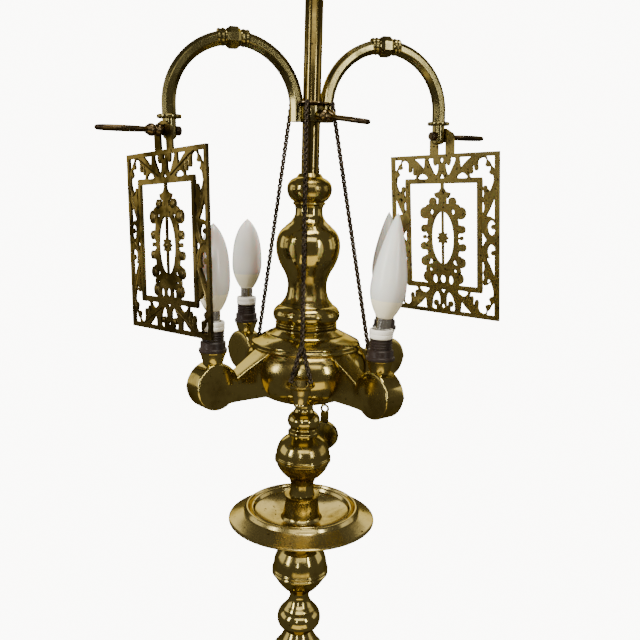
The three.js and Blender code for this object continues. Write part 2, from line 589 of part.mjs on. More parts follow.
function thumbscrewSolid(tip, start) {
  const shank = barAlongX(screw.shank, tip, start + screw.beads / 2);
  const beads = full(outline(beadShares, screw.beadRadius, screw.beads, start), smallSteps).rotateY(Math.PI / 2);
  const bevel = screw.wire / 2;
  const ovalShape = new THREE.Shape();
  const halfLength = screw.loopLength / 2;
  const halfWidth = screw.loopWidth / 2;
  ovalShape.absellipse(0, 0, halfLength - bevel, halfWidth - bevel, 0, 2 * Math.PI, false, 0);
  const inside = new THREE.Path();
  const wide = 2 * screw.wire - bevel;
  inside.absellipse(0, 0, halfLength - wide, halfWidth - wide, 0, 2 * Math.PI, false, 0);
  ovalShape.holes.push(inside);
  const loop = new THREE.ExtrudeGeometry(ovalShape, {
    depth: screw.wire, bevelEnabled: true, bevelThickness: bevel, bevelSize: bevel, bevelSegments: 1, curveSegments: 6,
  });
  loop.translate(start + screw.beads + halfLength - screw.wire, 0, -bevel);
  return joined(shank, beads, loop);
}

function addCollar() {
  const bush = bored([
    new THREE.Vector2(bushRadius, collarBottom + seatGap),
    new THREE.Vector2(bushRadius, collarTop - seatGap),
  ], upperRod.radius);
  addPiece('collar_bush', bush, 'steel');

  const middle = (collarTop + collarBottom) / 2;
  const sleeve = bored([
    new THREE.Vector2(collarRadius, collarBottom),
    new THREE.Vector2(collarRadius, collarTop),
  ], bushRadius);
  const turn = radians(collar.screwAngle);
  const droop = radians(collar.screwDroop);
  const boss = barAlongX(collar.bossRadius, collarRadius - collar.wall / 2, collarRadius + collar.bossReach)
    .rotateY(droop).rotateZ(turn).translate(0, 0, middle);
  const tapped = drill(screw.shank, 0, collarRadius + 2 * collar.bossReach)
    .rotateY(Math.PI / 2 + droop).rotateZ(turn).translate(0, 0, middle);
  addPiece('collar', cut(joined(sleeve, boss), tapped), 'aged');

  const place = new THREE.Group();
  place.rotation.set(0, droop, turn, 'ZYX');
  place.position.z = middle;
  lamp.add(place);
  const start = collarRadius + collar.bossReach + seatGap;
  addPiece('collar_thumbscrew', thumbscrewSolid(bushRadius + 2 * seatGap, start), 'bronze', place);

  const flat = bored([
    new THREE.Vector2(hoop.radius, hoopBottom),
    new THREE.Vector2(hoop.radius, hoopBottom + hoop.thickness),
  ], upperRod.radius, wideSteps);
  const core = rodBetween(collarRadius, collarBottom, hoopBottom + 2 * arm.leg, turnSteps);
  const notches = armSides.map(({ degrees, tilt }) => (
    cut(armTube(arm.across + 2 * hoop.notchGap, tilt).rotateZ(radians(degrees)), core)
  ));
  addPiece('chain_hoop', cut(flat, ...notches), 'bronze');
}

const armSides = [
  { side: 'left', degrees: arm.angle + 180, tilt: arm.tilt, lean: screen.leftLean, spin: screen.leftSpin },
  { side: 'right', degrees: arm.angle, tilt: -arm.tilt, lean: screen.rightLean, spin: screen.rightSpin },
];

function tilted(geometry, tilt) {
  const middle = (collarTop + collarBottom) / 2;
  return geometry.translate(0, 0, -middle).rotateY(radians(tilt)).translate(0, 0, middle);
}

function armTube(across, tilt) {
  const radius = (arm.reach - arm.root) / 2;
  const middle = arm.root + radius;
  const spring = collarBottom + arm.leg;
  const route = [new THREE.Vector3(arm.root, 0, collarBottom)];
  for (let step = 0; step <= 6; step += 1) {
    const turn = Math.PI - step * Math.PI / 6;
    route.push(new THREE.Vector3(middle + radius * Math.cos(turn), 0, spring + radius * Math.sin(turn)));
  }
  route.push(new THREE.Vector3(arm.reach, 0, collarBottom + arm.flangeHeight / 2));
  return tilted(tubeAlong(new THREE.CatmullRomCurve3(route), across, arm.sides, 10), tilt);
}

function addArms() {
  const radius = (arm.reach - arm.root) / 2;
  const apex = collarBottom + arm.leg + radius;
  for (const { side, degrees, tilt } of armSides) {
    const place = new THREE.Group();
    place.rotation.z = radians(degrees);
    lamp.add(place);
    const bead = knot.length / 2;
    const beads = full([
      new THREE.Vector2(knot.endRadius, -bead),
      new THREE.Vector2(knot.beadRadius, -bead + knot.wireStep),
      new THREE.Vector2(knot.endRadius, -knot.nutLength / 2),
      new THREE.Vector2(knot.endRadius, knot.nutLength / 2),
      new THREE.Vector2(knot.beadRadius, bead - knot.wireStep),
      new THREE.Vector2(knot.endRadius, bead),
    ], smallSteps);
    const nut = full([
      new THREE.Vector2(knot.beadRadius, -knot.nutLength / 2),
      new THREE.Vector2(knot.nutRadius, -knot.nutLength / 4),
      new THREE.Vector2(knot.nutRadius, knot.nutLength / 4),
      new THREE.Vector2(knot.beadRadius, knot.nutLength / 2),
    ], arm.sides);
    const along = (geometry) => geometry.rotateY(Math.PI / 2).translate(arm.root + radius, 0, apex);
    const flange = rodBetween(arm.flangeRadius, collarBottom, collarBottom + arm.flangeHeight).translate(arm.reach, 0, 0);
    const pivot = drill(stub.pinRadius, collarBottom - cutOverrun, collarBottom + arm.pivotDepth)
      .translate(arm.reach, 0, 0);
    const seat = drill(collarRadius, collarBottom - 2 * cutOverrun, hoopBottom + hoop.thickness + seatGap, turnSteps);
    const clear = drill(upperRod.radius, collarBottom, apex, turnSteps);
    const trimmed = rodBetween(2 * arm.root, collarBottom - 2 * cutOverrun, collarBottom);
    const casting = joined(armTube(arm.across, tilt), tilted(along(beads), tilt), tilted(along(nut), tilt),
      tilted(flange, tilt));
    addPiece(`arm_${side}`, cut(casting, tilted(pivot, tilt), seat, clear, trimmed), 'aged', place);
  }
}

// The group at an arm's end, where the stub turns about its pin
function armEnd(degrees, tilt) {
  const middle = (collarTop + collarBottom) / 2;
  const place = new THREE.Group();
  place.rotation.z = radians(degrees);
  const leaning = new THREE.Group();
  leaning.position.z = middle;
  leaning.rotation.y = radians(tilt);
  const end = new THREE.Group();
  end.position.set(arm.reach, 0, collarBottom - middle);
  end.rotation.z = radians(stub.turn);
  leaning.add(end);
  place.add(leaning);
  lamp.add(place);
  return end;
}

function stubSolid() {
  const top = -seatGap;
  const low = top - stub.height;
  const body = full([
    new THREE.Vector2(stub.pinRadius, low),
    new THREE.Vector2(stub.radius, low + stub.radius / 2),
    new THREE.Vector2(stub.radius, top),
  ], smallSteps);
  const pin = rodBetween(stub.pinRadius, top - stub.shoulder, arm.pivotDepth - cutOverrun / 2);
  const cheek = (side) => new THREE.BoxGeometry(stub.radius, 4 * stub.radius, stub.height)
    .translate(side * (stub.thickness + stub.radius) / 2, 0, top - stub.shoulder - stub.height / 2);
  const hole = drill(screw.shank, -2 * stub.radius, 2 * stub.radius)
    .rotateY(Math.PI / 2)
    .translate(0, 0, -stub.screwDrop);
  return cut(joined(body, pin), cheek(1), cheek(-1), hole);
}

// A strap of changing width along a smooth line, as a closed outline
function ribbon(points, widthAt, steps) {
  const line = new THREE.SplineCurve(points.map(([x, y]) => new THREE.Vector2(x, y)));
  const near = [];
  const far = [];
  for (let step = 0; step <= steps; step += 1) {
    const share = step / steps;
    const place = line.getPoint(share);
    const along = line.getTangent(share);
    const half = widthAt(share) / 2;
    near.push(new THREE.Vector2(place.x - along.y * half, place.y + along.x * half));
    far.push(new THREE.Vector2(place.x + along.y * half, place.y - along.x * half));
  }
  return new THREE.Shape([...near, ...far.reverse()]);
}

function rectangle(path, left, right, low, high) {
  path.moveTo(left, low);
  path.lineTo(right, low);
  path.lineTo(right, high);
  path.lineTo(left, high);
  path.closePath();
  return path;
}

function frameShape(left, right, low, high, bar) {
  const shape = rectangle(new THREE.Shape(), left, right, low, high);
  shape.holes.push(rectangle(new THREE.Path(), left + bar, right - bar, low + bar, high - bar));
  return shape;
}

function ovalPath(path, halfWidth, halfHeight, middle) {
  path.absellipse(0, middle, halfWidth, halfHeight, 0, 2 * Math.PI, false, 0);
  return path;
}

// The shapes of a screen, with the frame's top edge at zero and its middle at zero
function screenOrnament() {
  const { width, height, sideShare, endShare, barWidth } = screen;
  const half = width / 2;
  const side = width * sideShare;
  const end = height * endShare;
  const shapes = [];
  const mirrored = (points, flipX, flipY) => points.map(([x, y]) => [flipX * x, flipY ? -height - y : y]);
  const everyCorner = [[1, false], [-1, false], [1, true], [-1, true]];

  // Main leaf of each corner, from the middle of the end border out to the corner
  const cornerShares = [[0.06, 0.97], [0.22, 0.86], [0.44, 0.5], [0.7, 0.16], [0.93, 0.3], [0.985, 0.78]];
  const corner = cornerShares.map(([x, y]) => [x * half, -y * end]);
  const leafWidth = (share) => end * (0.14 + 0.16 * Math.sin(Math.PI * share) + 0.07 * Math.cos(10 * Math.PI * share));
  // Side leaf, from below the corner down to the scroll
  const leafShares = [[0.55, 0.09], [0.35, 0.2], [0.6, 0.29], [0.5, 0.38]];
  const sideLeaf = leafShares.map(([x, y]) => [half - side + x * side, -end * 0.6 - y * height]);
  const sideWidth = (share) => side * (0.16 + 0.3 * Math.sin(Math.PI * share) + 0.09 * Math.cos(6 * Math.PI * share));
  // C-shaped scroll at the middle of the side
  const scrollShares = [[0.05, 0.395], [0.5, 0.375], [0.92, 0.4], [0.95, 0.465], [0.5, 0.485], [0.3, 0.445], [0.55, 0.425]];
  const scroll = scrollShares.map(([x, y]) => [half - side + x * side, -y * height]);
  const scrollWidth = (share) => side * (0.2 + 0.1 * share);
  // Small tendril that closes the foot of the corner leaf
  const tendrilShares = [[0.2, 0.94], [0.3, 0.62], [0.42, 0.62], [0.5, 0.95]];
  const tendril = tendrilShares.map(([x, y]) => [x * half, -y * end]);
  // Half of the lyre in the middle of the end border
  const lyreShares = [[0.0, 0.08], [0.1, 0.3], [0.14, 0.62], [0.04, 0.97]];
  const lyre = lyreShares.map(([x, y]) => [x * half, -y * end]);
  const thin = () => barWidth * 0.55;

  for (const [flipX, flipY] of everyCorner) {
    shapes.push(ribbon(mirrored(corner, flipX, flipY), leafWidth, 7));
    shapes.push(ribbon(mirrored(sideLeaf, flipX, flipY), sideWidth, 4));
    shapes.push(ribbon(mirrored(scroll, flipX, flipY), scrollWidth, 5));
    shapes.push(ribbon(mirrored(tendril, flipX, flipY), thin, 3));
    shapes.push(ribbon(mirrored(lyre, flipX, flipY), thin, 3));
  }
  return shapes;
}

function cartoucheShapes() {
  const { width, height } = screen;
  const middle = -height * (cartouche.topShare + cartouche.bottomShare) / 2 - height * 0.04;
  const openWidth = width * cartouche.openWidthShare / 2;
  const openHeight = height * cartouche.openHeightShare / 2;
  const outWidth = width * cartouche.widthShare / 2;
  const outHeight = outWidth - openWidth + openHeight;
  const points = [];
  const stepsPerLobe = 3;
  for (let step = 0; step < cartouche.lobes * stepsPerLobe; step += 1) {
    const turn = (step + stepsPerLobe / 2) * 2 * Math.PI / (cartouche.lobes * stepsPerLobe);
    const wave = 1 - cartouche.lobeShare * (1 - Math.abs(Math.sin(cartouche.lobes * turn / 2))) * 2;
    points.push(new THREE.Vector2(outWidth * wave * Math.cos(turn), middle + outHeight * wave * Math.sin(turn)));
  }
  const surround = new THREE.Shape(points);
  surround.holes.push(ovalPath(new THREE.Path(), openWidth, openHeight, middle));
  const petals = [];
  for (let step = 0; step < cartouche.petals * 2; step += 1) {
    const turn = step * Math.PI / cartouche.petals;
    const reach = cartouche.rosetteRadius * (1 + cartouche.petalShare * Math.cos(cartouche.petals * turn));
    petals.push(new THREE.Vector2(reach * Math.cos(turn), middle + reach * Math.sin(turn)));
  }
  const innerTop = -height * screen.endShare;
  const innerLow = -height + height * screen.endShare;
  const bar = rectangle(new THREE.Shape(), -cartouche.bar / 2, cartouche.bar / 2,
    middle - openHeight - cartouche.bar, middle + openHeight + cartouche.bar);
  const stemWidth = (share) => cartouche.bar * (1.4 + 2.6 * Math.sin(Math.PI * share) ** 4);
  const stem = ribbon([[0, innerTop + cartouche.bar], [0, middle + outHeight - cartouche.bar]], stemWidth, 6);
  const foot = [1, -1].map((side) => {
    const from = [side * outWidth * 0.35, middle - outHeight * 0.86];
    const bend = [side * outWidth * 0.85, (middle - outHeight + innerLow) / 2 + cartouche.bar];
    const to = [side * outWidth * 0.45, innerLow - cartouche.bar];
    return ribbon([from, bend, to], (share) => cartouche.bar * (3 - share), 4);
  });
  const prop = ribbon([[0, middle - openHeight - cartouche.bar], [0, innerLow - cartouche.bar]],
    (share) => cartouche.bar * (3 - 2 * Math.sin(Math.PI * share)), 4);
  return [surround, new THREE.Shape(petals), bar, stem, prop, ...foot];
}

// The horseshoe ear that sits over the thumbscrew's shoulder, with zero at the screw
function earShape() {
  const low = -screen.drop - screen.barWidth / 2;
  const slot = holeOver(screw.shoulderRadius);
  const shape = new THREE.Shape();
  shape.moveTo(screen.earRadius, low);
  shape.absellipse(0, -screen.earDrop, screen.earRadius, screen.earHeight, 0, Math.PI, false, 0);
  shape.lineTo(-screen.earRadius, low);
  shape.lineTo(-slot, low);
  shape.absarc(0, 0, slot, Math.PI, 0, true);
  shape.lineTo(slot, low);
  shape.closePath();
  return shape;
}

function screenSolid(lean) {
  const { width, height, sideShare, endShare, barWidth, barThickness, innerBar, thickness } = screen;
  const half = width / 2;
  const outer = frameShape(-half, half, -height, 0, barWidth);
  const left = -half + width * sideShare;
  const high = -height * endShare;
  const inner = frameShape(left, -left, -height - high, high, innerBar);
  const bars = [outer, inner].map((shape) => standingPlate(shape, barThickness));
  const fill = [...screenOrnament(), ...cartoucheShapes()].map((shape) => standingPlate(shape, thickness));
  const panel = joined(...bars, ...fill).rotateY(radians(lean)).translate(0, 0, -screen.drop);
  return joined(panel, standingPlate(earShape(), thickness));
}

function addScreens() {
  for (const { side, degrees, tilt, lean, spin } of armSides) {
    const end = armEnd(degrees, tilt);
    addPiece(`${side}_stub`, stubSolid(), 'aged', end);
    const axle = new THREE.Group();
    axle.position.z = -stub.screwDrop;
    end.add(axle);
    const plate = (stub.thickness + screen.thickness) / 2 + seatGap;
    const hung = new THREE.Group();
    hung.position.x = plate;
    hung.rotation.x = radians(spin);
    axle.add(hung);
    addPiece(`screen_${side}`, screenSolid(lean), 'screenBrass', hung);
    const nutFace = -stub.thickness / 2 - seatGap;
    const beadFace = plate + screen.thickness / 2 + seatGap;
    const nut = hexNut(screw.nutRadius, screw.shank, nutFace - screw.nutLength, nutFace).rotateY(Math.PI / 2);
    addPiece(`${side}_end_nut`, nut, 'bronze', axle);
    const shoulder = barAlongX(screw.shoulderRadius, stub.thickness / 2 + seatGap, beadFace + screw.wire, turnSteps);
    const body = thumbscrewSolid(nutFace - screw.nutLength - screw.wire, beadFace);
    addPiece(`${side}_thumbscrew`, joined(body, shoulder), 'bronze', axle);
  }
}

function strand(points, steps) {
  return tubeAlong(new THREE.CatmullRomCurve3(points, false, 'centripetal'), 2 * chain.radius, chain.sides, steps);
}

const chainTop = hoopBottom + hoop.thickness;
const bendHeight = chainTop - chain.bendDrop;
const chainStart = hoop.radius + chain.radius + 2 * seatGap;

function chainRoute({ top, angle, drop }) {
  const start = polar(chainStart, top, chainTop);
  const bend = polar(chain.bendRadius, angle, bendHeight);
  const above = start.clone().lerp(bend, 1 - chain.bendRound / chain.bendDrop);
  return [start, above, polar(chain.bendRadius, angle, bendHeight - chain.bendRound),
    polar(chain.bendRadius, angle, bendHeight - drop)];
}

function addTools() {
  for (const side of ['left', 'right', 'rear']) {
    const [start, above, below, end] = chainRoute(chains[side]);
    addPiece(`chain_${side}`, joined(strand([start, above], 1), strand([above, below], 1), strand([below, end], 1)), 'bronze');
  }

  const { front } = chains;
  const bucketTop = chainTop - bucket.fall;
  const place = new THREE.Group();
  place.rotation.z = radians(front.angle);
  const hung = new THREE.Group();
  hung.position.set(bucket.reach, 0, bucketTop - bucket.height);
  place.add(hung);
  lamp.add(place);
  const wall = outline(bucketShares, bucket.radius, bucket.height);
  const inside = bucket.radius - bucket.wall;
  const cup = spun([
    new THREE.Vector2(0, 0),
    ...wall,
    new THREE.Vector2(inside, bucket.height),
    new THREE.Vector2(inside * 0.85, bucket.height / 4 + bucket.bottom),
    new THREE.Vector2(0, bucket.height / 4 + bucket.bottom),
  ], smallSteps);
  addPiece('snuffer_bucket', cup, 'bronze', hung);

  const start = polar(chainStart, front.top, chainTop);
  const bend = polar(chain.bendRadius, front.angle, bendHeight);
  const split = start.clone().lerp(bend, (bucket.fall - bucket.splitRise) / chain.bendDrop);
  const strands = [1, -1].map((side) => {
    const foot = new THREE.Vector3(bucket.reach, side * bucket.strandGap, bucketTop + 2 * seatGap + chain.radius / 4)
      .applyAxisAngle(new THREE.Vector3(0, 0, 1), radians(front.angle));
    return strand([split, foot], 1);
  });
  addPiece('chain_front', joined(strand([start, split], 1), ...strands), 'bronze');

  const hangingPoint = (side) => {
    const group = new THREE.Group();
    const { angle, drop } = chains[side];
    group.position.copy(polar(chain.bendRadius, angle, bendHeight - drop - seatGap));
    group.rotation.z = radians(angle);
    lamp.add(group);
    return group;
  };

  // Wick trimmer: a hanging lug, a flat neck, a round box and a spike
  const lug = barAlongX(trimmer.lugRadius, -trimmer.plate / 2, trimmer.plate / 2, turnSteps)
    .translate(0, 0, -trimmer.lugRadius);
  const lugLow = 2 * trimmer.lugRadius;
  const blade = new THREE.BoxGeometry(trimmer.plate, trimmer.neckWidth, trimmer.neckLength)
    .translate(0, 0, -lugLow - trimmer.neckLength / 2 + trimmer.wire);
  const boxMiddle = -lugLow - trimmer.neckLength - trimmer.boxRadius + cutOverrun;
  const box = barAlongX(trimmer.boxRadius, -trimmer.boxDepth / 2, trimmer.boxDepth / 2, turnSteps).translate(0, 0, boxMiddle);
  const spike = full([
    new THREE.Vector2(trimmer.wire / 2, boxMiddle - trimmer.boxRadius / 2 - trimmer.spike),
    new THREE.Vector2(2 * trimmer.wire, boxMiddle - trimmer.boxRadius / 2),
  ], 6);
  addPiece('wick_trimmer', joined(blade, lug, box, spike), 'bronze', hangingPoint('rear'));

  // Pick: a round wire with a knob to hold
  const needle = full([
    new THREE.Vector2(pick.radius / 2, -pick.length),
    new THREE.Vector2(pick.radius, -pick.length + 2 * pick.knobRadius),
    new THREE.Vector2(pick.radius, -2 * pick.knobRadius),
    new THREE.Vector2(pick.knobRadius, -pick.knobRadius),
    new THREE.Vector2(pick.radius, 0),
  ], 10);
  addPiece('wick_pick', needle, 'bronze', hangingPoint('left'));

  // Tweezers: one strip bent double
  const { length, width, plate, spread } = tweezers;
  const strip = new THREE.Shape();
  strip.moveTo(-plate, 0);
  strip.lineTo(plate, 0);
  strip.lineTo(spread / 2, -length);
  strip.lineTo(spread / 2 - plate, -length);
  strip.lineTo(0, -length / 4);
  strip.lineTo(-spread / 2 + plate, -length);
  strip.lineTo(-spread / 2, -length);
  strip.closePath();
  addPiece('tweezers', standingPlate(strip, width), 'bronze', hangingPoint('right'));
}

addBase();
addStem();
addReservoir();
addLid();
addLights();
addRodAndFinial();
addLead();
addCollar();
addArms();
addScreens();
addTools();

export default lamp;
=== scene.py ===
# %% [markdown]
# # A brass floor lamp with pierced screens
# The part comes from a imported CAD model. This lesson loads that model as a fixed frame and
# dresses every piece with a finer mesh and a worn metal finish. All sizes below are in
# millimetres, as on the maker's drawing, and they are turned into metres when a mesh is made.

# %% Load the frame
import math

import bmesh
import bpy
from mathutils import Matrix, Vector
from mathutils.geometry import delaunay_2d_cdt


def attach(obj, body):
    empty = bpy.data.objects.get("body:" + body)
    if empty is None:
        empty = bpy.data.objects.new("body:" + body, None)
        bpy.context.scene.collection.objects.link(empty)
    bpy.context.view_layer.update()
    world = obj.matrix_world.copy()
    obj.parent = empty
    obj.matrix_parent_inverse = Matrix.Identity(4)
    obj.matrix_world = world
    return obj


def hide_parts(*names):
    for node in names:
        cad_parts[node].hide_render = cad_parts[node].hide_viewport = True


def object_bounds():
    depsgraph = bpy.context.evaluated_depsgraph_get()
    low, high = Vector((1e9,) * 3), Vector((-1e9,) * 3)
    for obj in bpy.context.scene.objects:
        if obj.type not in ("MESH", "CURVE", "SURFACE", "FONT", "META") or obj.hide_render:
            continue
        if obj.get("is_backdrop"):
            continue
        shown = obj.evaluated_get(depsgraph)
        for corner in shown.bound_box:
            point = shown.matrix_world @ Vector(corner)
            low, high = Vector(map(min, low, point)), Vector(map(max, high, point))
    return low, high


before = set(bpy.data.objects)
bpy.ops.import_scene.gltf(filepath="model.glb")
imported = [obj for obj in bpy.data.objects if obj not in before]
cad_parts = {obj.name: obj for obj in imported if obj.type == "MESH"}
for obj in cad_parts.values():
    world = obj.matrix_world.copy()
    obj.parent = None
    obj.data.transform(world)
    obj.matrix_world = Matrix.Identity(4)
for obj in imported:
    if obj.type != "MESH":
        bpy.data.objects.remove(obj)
cad_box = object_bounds()
MM = 0.001

# %% [markdown]
# ## The camera and the room
# The photograph looks slightly down from in front of the lamp, and it is turned by a degree or
# two. A camera's own axes point right, up and backwards, so three turns about them, one after
# the other, give the same view. The room is a pale wall and floor with soft lamps. Polished
# metal shows what is around it, and the photographed wall is far brighter than the room in
# front of it. So the wall and floor glow for the camera alone and are left out of reflections,
# and the brass mirrors only the windows and a dim room: its streaks come from them.

# %% Camera
PHOTO_EYE = (0, -830, 1330)
YAW, PITCH, ROLL = 1.074, 10.3, 1.647
LENS, SENSOR = 41.85, 36

camera_data = bpy.data.cameras.new("lamp_camera")
camera_data.lens = LENS
camera_data.sensor_width = SENSOR
camera = bpy.data.objects.new("lamp_camera", camera_data)
bpy.context.scene.collection.objects.link(camera)
camera.matrix_world = (
    Matrix.Translation(Vector(PHOTO_EYE) * MM)
    @ Matrix.Rotation(math.radians(-YAW), 4, "Z")
    @ Matrix.Rotation(math.radians(90 - PITCH), 4, "X")
    @ Matrix.Rotation(math.radians(ROLL), 4, "Z")
)
bpy.context.scene.camera = camera
print("camera at", [round(c, 3) for c in camera.matrix_world.translation])

# %% Floor, wall and lamps
FLOOR_RADIUS, WALL_RADIUS, WALL_REACH = 1.1, 9.0, 9.0
ROOM_SIDES = 96
ROOM_COLOUR, PAINT_COLOUR, PAINT_ROUGHNESS = (1, 0.98, 0.92, 1), (0.8, 0.79, 0.76, 1), 0.9
WALL_GLOW, FLOOR_GLOW = 10.0, 2.6


def round_points(half_width, half_height, steps):
    """Points round an oval about zero. The first is on the right."""
    turns = [2 * math.pi * n / steps for n in range(steps)]
    return [Vector((half_width * math.cos(t), half_height * math.sin(t))) for t in turns]


def bridge(bm, lower, upper):
    """A band of faces between two rings that have as many points."""
    for n in range(len(lower)):
        m = (n + 1) % len(lower)
        bm.faces.new((lower[n], lower[m], upper[m], upper[n]))


def room_surface(name, rims, glow):
    """A flat disc, or rings of faces round the lamp, in a paint that glows evenly."""
    bm = bmesh.new()
    rings = []
    for radius, height in rims:
        points = round_points(radius, radius, ROOM_SIDES)
        rings.append([bm.verts.new((p.x, p.y, height)) for p in points])
    if len(rings) == 1:
        bm.faces.new(rings[0])
    for low, high in zip(rings, rings[1:]):
        bridge(bm, low, high)
    mesh = bpy.data.meshes.new(name)
    bm.to_mesh(mesh)
    bm.free()
    surface = bpy.data.objects.new(name, mesh)
    paint = bpy.data.materials.new(name + "_paint")
    paint.use_nodes = True
    shader = paint.node_tree.nodes["Principled BSDF"]
    shader.inputs["Base Color"].default_value = PAINT_COLOUR
    shader.inputs["Roughness"].default_value = PAINT_ROUGHNESS
    shader.inputs["Emission Color"].default_value = ROOM_COLOUR
    shader.inputs["Emission Strength"].default_value = glow
    mesh.materials.append(paint)
    bpy.context.scene.collection.objects.link(surface)
    surface.visible_glossy = False
    surface.visible_diffuse = False
    return surface


room_surface("floor", [(FLOOR_RADIUS, 0)], FLOOR_GLOW)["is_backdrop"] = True
wall_rims = [
    (WALL_RADIUS / 9, -WALL_REACH), (WALL_RADIUS, -WALL_REACH / 2), (WALL_RADIUS, WALL_REACH),
    (WALL_RADIUS / 9, 1.5 * WALL_REACH),
]
room_surface("wall", wall_rims, WALL_GLOW)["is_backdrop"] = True


def soft_lamp(name, place, aim, size, power, colour, mirrored=True):
    """A rectangular area light that looks at a point. Polished metal mirrors it, or doesn't."""
    data = bpy.data.lights.new(name, "AREA")
    data.shape = "RECTANGLE"
    data.size, data.size_y = size
    data.energy = power
    data.color = colour
    lamp = bpy.data.objects.new(name, data)
    lamp.location = place
    lamp.rotation_euler = (Vector(aim) - Vector(place)).to_track_quat("-Z", "Y").to_euler()
    bpy.context.scene.collection.objects.link(lamp)
    lamp.visible_glossy = mirrored


MIDDLE = (0, 0, 1.2)
WARM, WHITE, AMBER = (1, 0.93, 0.80), (1, 0.98, 0.93), (1, 0.80, 0.38)
soft_lamp("window_left", (-1.9, -1.3, 1.8), MIDDLE, (0.40, 1.3), 20, WHITE)
soft_lamp("window_right", (1.45, -1.7, 1.75), MIDDLE, (0.22, 1.1), 12, WHITE)
soft_lamp("ceiling", (0.3, -0.5, 3.2), MIDDLE, (1.1, 0.7), 26, WARM)
soft_lamp("room_front", (0.2, -2.9, 3.1), MIDDLE, (3.0, 1.1), 30, WARM)
soft_lamp("fill_left", (-1.7, -1.2, 2.3), MIDDLE, (0.8, 0.8), 95, WHITE, mirrored=False)
soft_lamp("fill_back", (0.9, 1.3, 2.3), MIDDLE, (0.8, 0.8), 95, WHITE, mirrored=False)
soft_lamp("room_left", (-3.2, 0.4, 1.7), MIDDLE, (2.2, 1.6), 13, WARM)
soft_lamp("room_right", (3.2, 0.6, 1.7), MIDDLE, (2.0, 1.6), 11, WARM)
soft_lamp("room_back", (0, 3.0, 2.7), MIDDLE, (4.4, 2.6), 62, WARM)
soft_lamp("carpet", (0.1, -1.3, 0.15), MIDDLE, (1.9, 0.8), 8, AMBER)
soft_lamp("front_strip", (-0.45, -2.5, 1.6), MIDDLE, (0.14, 0.8), 5, WHITE)

world = bpy.data.worlds.new("room_light")
bpy.context.scene.world = world
world.use_nodes = True
world.node_tree.nodes["Background"].inputs["Color"].default_value = (0.34, 0.30, 0.23, 1)
world.node_tree.nodes["Background"].inputs["Strength"].default_value = 0.36

# %% [markdown]
# ## Writing shader nodes as arithmetic
# A finish is a small graph of nodes, and its sums are easier to read as sums. `Wire` holds one
# output socket and turns +, - and * into Math nodes. `Finish` is one material, and its `node`
# method makes any other kind of node.

# %% Wires and finishes
class Wire:
    """One output socket of a finish, which plain arithmetic can use."""

    def __init__(self, finish, socket):
        self.finish = finish
        self.socket = socket

    def _maths(self, operation, first, second):
        return self.finish.node("ShaderNodeMath", {0: first, 1: second}, operation=operation)

    def __add__(self, other):
        return self._maths("ADD", self, other)

    def __sub__(self, other):
        return self._maths("SUBTRACT", self, other)

    def __rsub__(self, other):
        return self._maths("SUBTRACT", other, self)

    def __mul__(self, other):
        return self._maths("MULTIPLY", self, other)

    __radd__ = __add__
    __rmul__ = __mul__


class Finish:
    """A material whose shader is fed by wires or by plain values."""

    def __init__(self, name, **constants):
        self.material = bpy.data.materials.new(name)
        self.material.use_nodes = True
        self.tree = self.material.node_tree
        self.shader = self.tree.nodes["Principled BSDF"]
        for socket, value in constants.items():
            self.shader.inputs[socket.replace("_", " ")].default_value = value

    def plug(self, socket, value):
        if isinstance(value, Wire):
            self.tree.links.new(value.socket, socket)
        else:
            socket.default_value = value

    def node(self, kind, inputs, output=0, **settings):
        made = self.tree.nodes.new(kind)
        for setting, value in settings.items():
            setattr(made, setting, value)
        for socket, value in inputs.items():
            self.plug(made.inputs[socket], value)
        return Wire(self, made.outputs[output])

    def feed(self, socket, value):
        self.plug(self.shader.inputs[socket], value)

    def place(self):
        return self.node("ShaderNodeTexCoord", {}, output="Object")

    def noise(self, scale, detail, roughness):
        inputs = {"Vector": self.place(), "Scale": scale, "Detail": detail, "Roughness": roughness}
        return self.node("ShaderNodeTexNoise", inputs)

    def steps(self, factor, low, high):
        """0 below low, 1 above high and smooth between them."""
        inputs = {"Value": factor, "From Min": low, "From Max": high}
        return self.node("ShaderNodeMapRange", inputs, interpolation_type="SMOOTHSTEP", clamp=True)

    def blend(self, factor, first, second):
        inputs = {0: factor, 6: first, 7: second}
        return self.node("ShaderNodeMix", inputs, output=2, data_type="RGBA")

    def bumps(self, height, strength, distance):
        inputs = {"Height": height, "Strength": strength, "Distance": distance}
        return self.node("ShaderNodeBump", inputs)


print("sockets:", len(Finish("test_finish").shader.inputs))
bpy.data.materials.remove(bpy.data.materials["test_finish"])

# %% [markdown]
# ## The metals
# Old polished brass is bright where hands and cloths reach it and brown where they don't. Two
# noises do this: a wide one for the cloudy tarnish and a fine one for specks. Both change the
# colour and the gloss together, because tarnish is duller than metal. A third and a fourth only
# dent the surface a little. The arms and the screens were polished less, so they are darker.

# %% Brass, bronze and steel
EDGE_TINT = (0.62, 0.52, 0.32, 1)
CLOUDS_SCALE, SPECKS_SCALE, GRAIN_SCALE, DENTS_SCALE = 24, 240, 600, 70
SPECK_DULLNESS, DENT_DEPTH = 0.25, 0.0006


